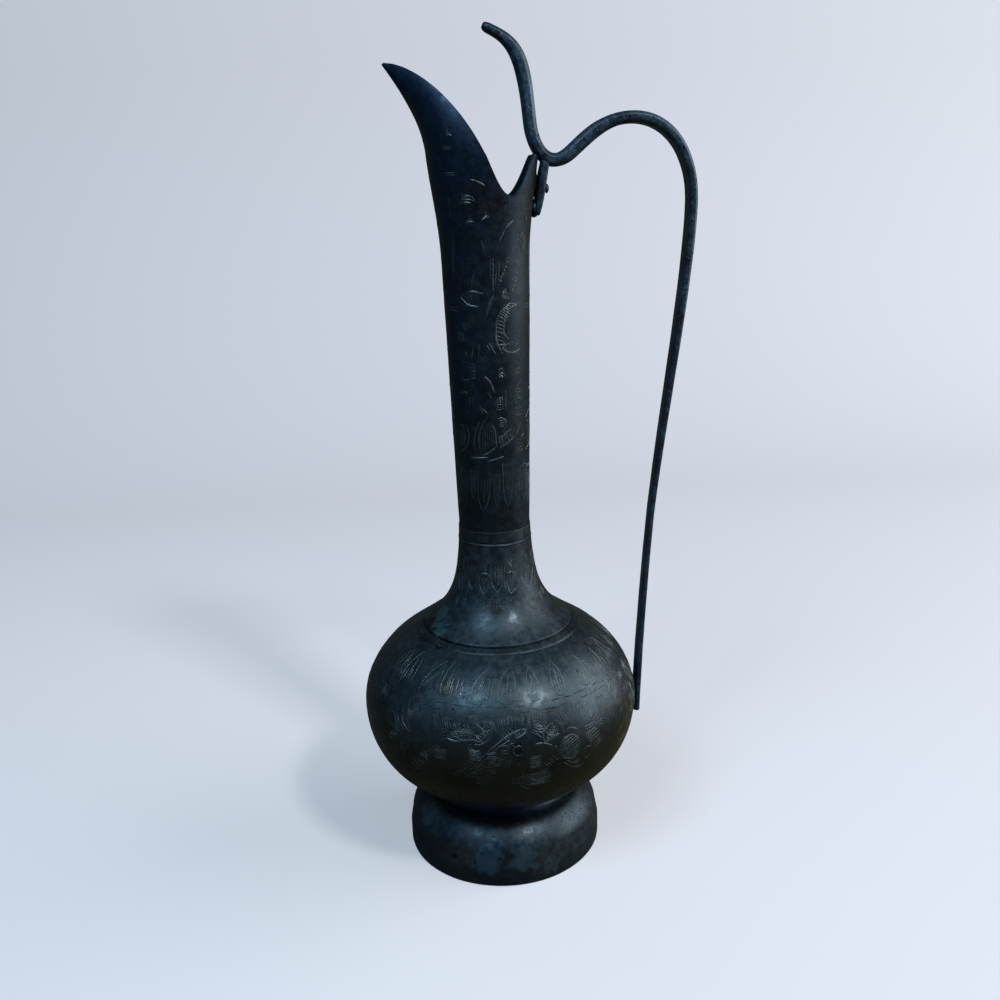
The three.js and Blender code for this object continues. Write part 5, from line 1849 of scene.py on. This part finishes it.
class EWER_OT_belly_chasing(Operator):
    """Chase the ring of petals on the shoulder and the leaves, flowers and stems under it"""

    bl_idname = "ewer.belly_chasing"
    bl_label = "Belly chasing"

    def execute(self, context):
        settings = context.scene.ewer.chasing
        skin, run_at = turned_skin(lower_bowl_outside() + upper_bowl_outside(90)[1:])
        chaser = Chaser(skin, run_at, settings.seed + 2)
        self.petals(chaser, settings.petals)
        self.border(chaser)
        self.ground(chaser)
        for side in PANEL_TURNS:
            self.panel(chaser, side)
        chased_piece(context, "belly_chasing", chaser, "worn brass lines")
        return {"FINISHED"}

    def petals(self, chaser, count):
        rng = chaser.rng
        for i in range(count):
            turn = 360 * i / count + rng.uniform(-1.2, 1.2)
            size = rng.uniform(0.85, 1.12)
            lean = rng.uniform(-4, 16)
            marks = petal(rng, rng.uniform(5.6, 8), PETAL_HEIGHT, rng.choice((3, 4, 5)))
            chaser.motif(marks, turn, PETAL_LEVEL, lean, size)
            if rng.random() < 0.6:
                chaser.motif(tuft(rng, 5, 2, 20), turn + 6.5, 105.5, lean, weight=0.8)

    def border(self, chaser):
        """Two broken lines under the petals, with short upright strokes between them here and there."""
        rng = chaser.rng
        for level, chance in BORDER_LINES:
            turn = 0.0
            while turn < 360:
                span = rng.uniform(3.4, 6.4)
                if rng.random() < chance:
                    rise = rng.uniform(-0.5, 0.5)
                    chaser.motif(stem((-span / 2, 0), (0, 0.3), (span / 2, rise)), turn, level, weight=0.9)
                turn += math.degrees((span + rng.uniform(0.3, 1.4)) * MM / BORDER_RADIUS)
        for i in range(BORDER_HATCHES):
            reach = rng.uniform(2.4, 4.6)
            spread = rng.uniform(1.6, 3.6)
            strokes = rng.choice((4, 6, 8))
            marks = hatch(rng, (-spread, 0), (spread, 0), lambda share: (-reach, 0), strokes, 0.2)
            turn = 360 / BORDER_HATCHES * i + rng.uniform(-3, 3)
            chaser.motif(marks, turn, BORDER_HATCH_LEVEL, weight=0.75)

    def ground(self, chaser):
        """Small patches of fine hatching all over the lower part, each at its own slant."""
        rng = chaser.rng
        for i in range(GROUND_PATCHES):
            turn, level = 360 * i / GROUND_PATCHES + rng.uniform(-2, 2), rng.uniform(68, 98)
            slant, reach, spread = rng.uniform(0, math.tau), rng.uniform(1.2, 2.8), rng.uniform(1.9, 3.8)
            along = Vector((math.cos(slant), math.sin(slant)))
            across = along.orthogonal()
            edges = [[place + shift for step in (-1, 0, 1)
                      for place, shift in zip((turn, level), along * spread * step + across * reach * side)]
                     for side in (-1, 1)]
            chaser.field(0, *edges, rng.choice((3, 4, 5, 6)), rng.uniform(0.5, 0.95))

    def panel(self, chaser, side):
        """One of three like panels round the belly."""
        rng, put = chaser.rng, chaser.motif
        for weight, *places in BELLY_STROKES:
            chaser.stroke(side, places, 0.7 * weight)
        for weight, count, left, right in BELLY_FIELDS:
            chaser.field(side, left, right, count, weight)
        for patch in BELLY_PATCHES:
            chaser.patch(side, *patch, weight=0.65)
        put(ring_mark(2.3), side + 3.3, 85, weight=0.9)
        put(leaf(rng, 5.4, 13, 6), side - 24.5, 89.6, 74)
        put(leaf(rng, 4.6, 10, 5), side - 13, 88, 48)
        put(leaf(rng, 5, 9, 5), side + 14, 87, 30)
        put(crescent(rng, 8.4, 3.6, 110, 240, 13), side - 40, 95.5, -20)
        put(crescent(rng, 5, 2.2, -40, 100, 8), side - 52, 88)
        put(tuft(rng, 6, 5, 80), side - 33, 76.4, -20)
        put(leaf(rng, 4.6, 9, 4), side - 46, 77, 28)
        put(leaf(rng, 5, 10, 5), side + 52, 92, 20)
        put(crescent(rng, 4.6, 1.6, 200, 350, 6), side + 12, 71.5)
        put(crescent(rng, 4.2, 1.8, 60, 210, 7), side - 14, 96.6)
        put(hatch(rng, (-3, 0), (3, 0), lambda share: (-5, 4), 6, 0.3), side + 55, 84, -10)


# Stage

LENS = 36.0
CAMERA_DISTANCE = 455 * MM
CAMERA_HEIGHT = 321.2 * MM
CAMERA_YAW = math.radians(3)
CAMERA_PITCH = math.radians(17.2)
CAMERA_ROLL = math.radians(-1.85)
CAMERA_SIDE_STEP = 3 * MM
LAMP_AIM = 170 * MM


def add_camera():
    right = Vector((math.cos(CAMERA_YAW), -math.sin(CAMERA_YAW), 0))
    ahead = Vector((math.sin(CAMERA_YAW), math.cos(CAMERA_YAW), 0))
    up = Vector((0, 0, 1))
    view = ahead * math.cos(CAMERA_PITCH) - up * math.sin(CAMERA_PITCH)
    top = ahead * math.sin(CAMERA_PITCH) + up * math.cos(CAMERA_PITCH)
    axis = Vector((AXIS_X, 0, 0))
    stand = axis + right * CAMERA_SIDE_STEP - ahead * CAMERA_DISTANCE + up * CAMERA_HEIGHT
    turn = Matrix((right, top, -view)).transposed().to_4x4()
    data = bpy.data.cameras.new("camera")
    data.lens = LENS
    data.sensor_width = LENS
    data.clip_start = 0.01
    camera = linked("camera", data)
    camera.matrix_world = Matrix.Translation(stand) @ turn @ Matrix.Rotation(CAMERA_ROLL, 4, "Z")
    bpy.context.scene.camera = camera


def add_lamp(name, azimuth, elevation, distance, size, power, colour):
    """A square lamp that faces the ewer's middle. Azimuth 0 is in front, and it grows to the right."""
    a, e = math.radians(azimuth), math.radians(elevation)
    target = Vector((AXIS_X, 0, LAMP_AIM))
    direction = Vector((math.sin(a) * math.cos(e), -math.cos(a) * math.cos(e), math.sin(e)))
    data = bpy.data.lights.new(name, "AREA")
    data.shape = "SQUARE"
    data.size = size
    data.energy = power
    data.color = colour
    lamp = linked(name, data)
    lamp.location = target + direction * distance
    lamp.rotation_euler = (-direction).to_track_quat("-Z", "Y").to_euler()


def stage_material(name, seen, thrown):
    """A matt surface with one colour for the camera and a deeper one in the light that it throws back."""
    material = bpy.data.materials.new(name)
    material.use_nodes = True
    tree = material.node_tree
    camera_ray = place(tree, "ShaderNodeLightPath").outputs["Is Camera Ray"]
    surface = tree.nodes["Principled BSDF"]
    tree.links.new(mixed(tree, camera_ray, thrown, tinted(seen, 0.6)), surface.inputs["Base Color"])
    tree.links.new(mixed(tree, camera_ray, (0, 0, 0), seen), surface.inputs["Emission Color"])
    surface.inputs["Emission Strength"].default_value = 0.4
    surface.inputs["Roughness"].default_value = 0.9
    surface.inputs["Specular IOR Level"].default_value = 0.1
    return material


def studio_world(seen, thrown):
    """A plain sky with one colour for the camera and a deeper one for the light."""
    world = bpy.data.worlds.new("studio")
    world.use_nodes = True
    tree = world.node_tree
    camera_ray = place(tree, "ShaderNodeLightPath").outputs["Is Camera Ray"]
    tree.links.new(mixed(tree, camera_ray, thrown, seen), tree.nodes["Background"].inputs["Color"])
    bpy.context.scene.world = world


class EWER_OT_stage(Operator):
    """Set up the pale floor and backdrop, the studio lamps and the camera"""

    bl_idname = "ewer.stage"
    bl_label = "Stage"

    def execute(self, context):
        reach, depth, height, bend = 3.0, 1.1, 2.4, 0.5
        line = [(-3.0, 0.0), (depth - bend, 0.0)]
        line += [(depth - bend + bend * math.sin(a), bend - bend * math.cos(a))
                 for a in (math.pi / 2 * i / 12 for i in range(1, 13))]
        line.append((depth, height))
        points = [(x, y, z - 0.0001) for x in (-reach, reach) for y, z in line]
        count = len(line)
        faces = [(i, count + i, count + i + 1, i + 1) for i in range(count - 1)]
        sweep = linked("sweep", mesh_of("sweep", points, faces))
        sweep.data.shade_smooth()
        sweep.data.materials.append(stage_material("pale sweep", (0.76, 0.78, 0.84), (0.1, 0.09, 0.06)))
        studio_world((0.72, 0.75, 0.82), (0.04, 0.09, 0.19))
        add_lamp("left lamp", -37, 50, 1.5, 0.55, 11, (0.6, 0.86, 1))
        add_lamp("right lamp", 36, 47, 1.5, 0.2, 11, (1, 0.98, 0.95))
        add_lamp("side lamp", 88, 18, 1.6, 1.4, 24, (1, 0.98, 0.94))
        context.scene.view_settings.view_transform = "Standard"
        add_camera()
        return {"FINISHED"}


class EWER_PT_panel(Panel):
    """Lists the ewer's settings and what each step makes"""

    bl_idname = "EWER_PT_panel"
    bl_label = "Brass ewer"
    bl_space_type = "VIEW_3D"
    bl_region_type = "UI"
    bl_category = "Ewer"

    def draw(self, context):
        settings = context.scene.ewer
        for group in (settings.form, settings.chasing, settings.colour):
            box = self.layout.box()
            for key in group.__annotations__:
                box.prop(group, key)
        for step in STEPS:
            self.layout.operator(step.bl_idname)


STEPS = (
    EWER_OT_finishes, EWER_OT_foot, EWER_OT_belly, EWER_OT_collar, EWER_OT_neck, EWER_OT_handle,
    EWER_OT_fastenings, EWER_OT_punching, EWER_OT_neck_chasing, EWER_OT_collar_chasing,
    EWER_OT_belly_chasing, EWER_OT_stage,
)
CLASSES = (EwerFormSettings, EwerChasingSettings, EwerColourSettings, EwerSettings, *STEPS, EWER_PT_panel)


def register():
    for cls in CLASSES:
        bpy.utils.register_class(cls)
    bpy.types.Scene.ewer = PointerProperty(type=EwerSettings)


def unregister():
    del bpy.types.Scene.ewer
    for cls in reversed(CLASSES):
        bpy.utils.unregister_class(cls)


def main():
    register()
    for step in STEPS:
        group, name = step.bl_idname.split(".")
        getattr(getattr(bpy.ops, group), name)()


if __name__ == "__main__":
    main()
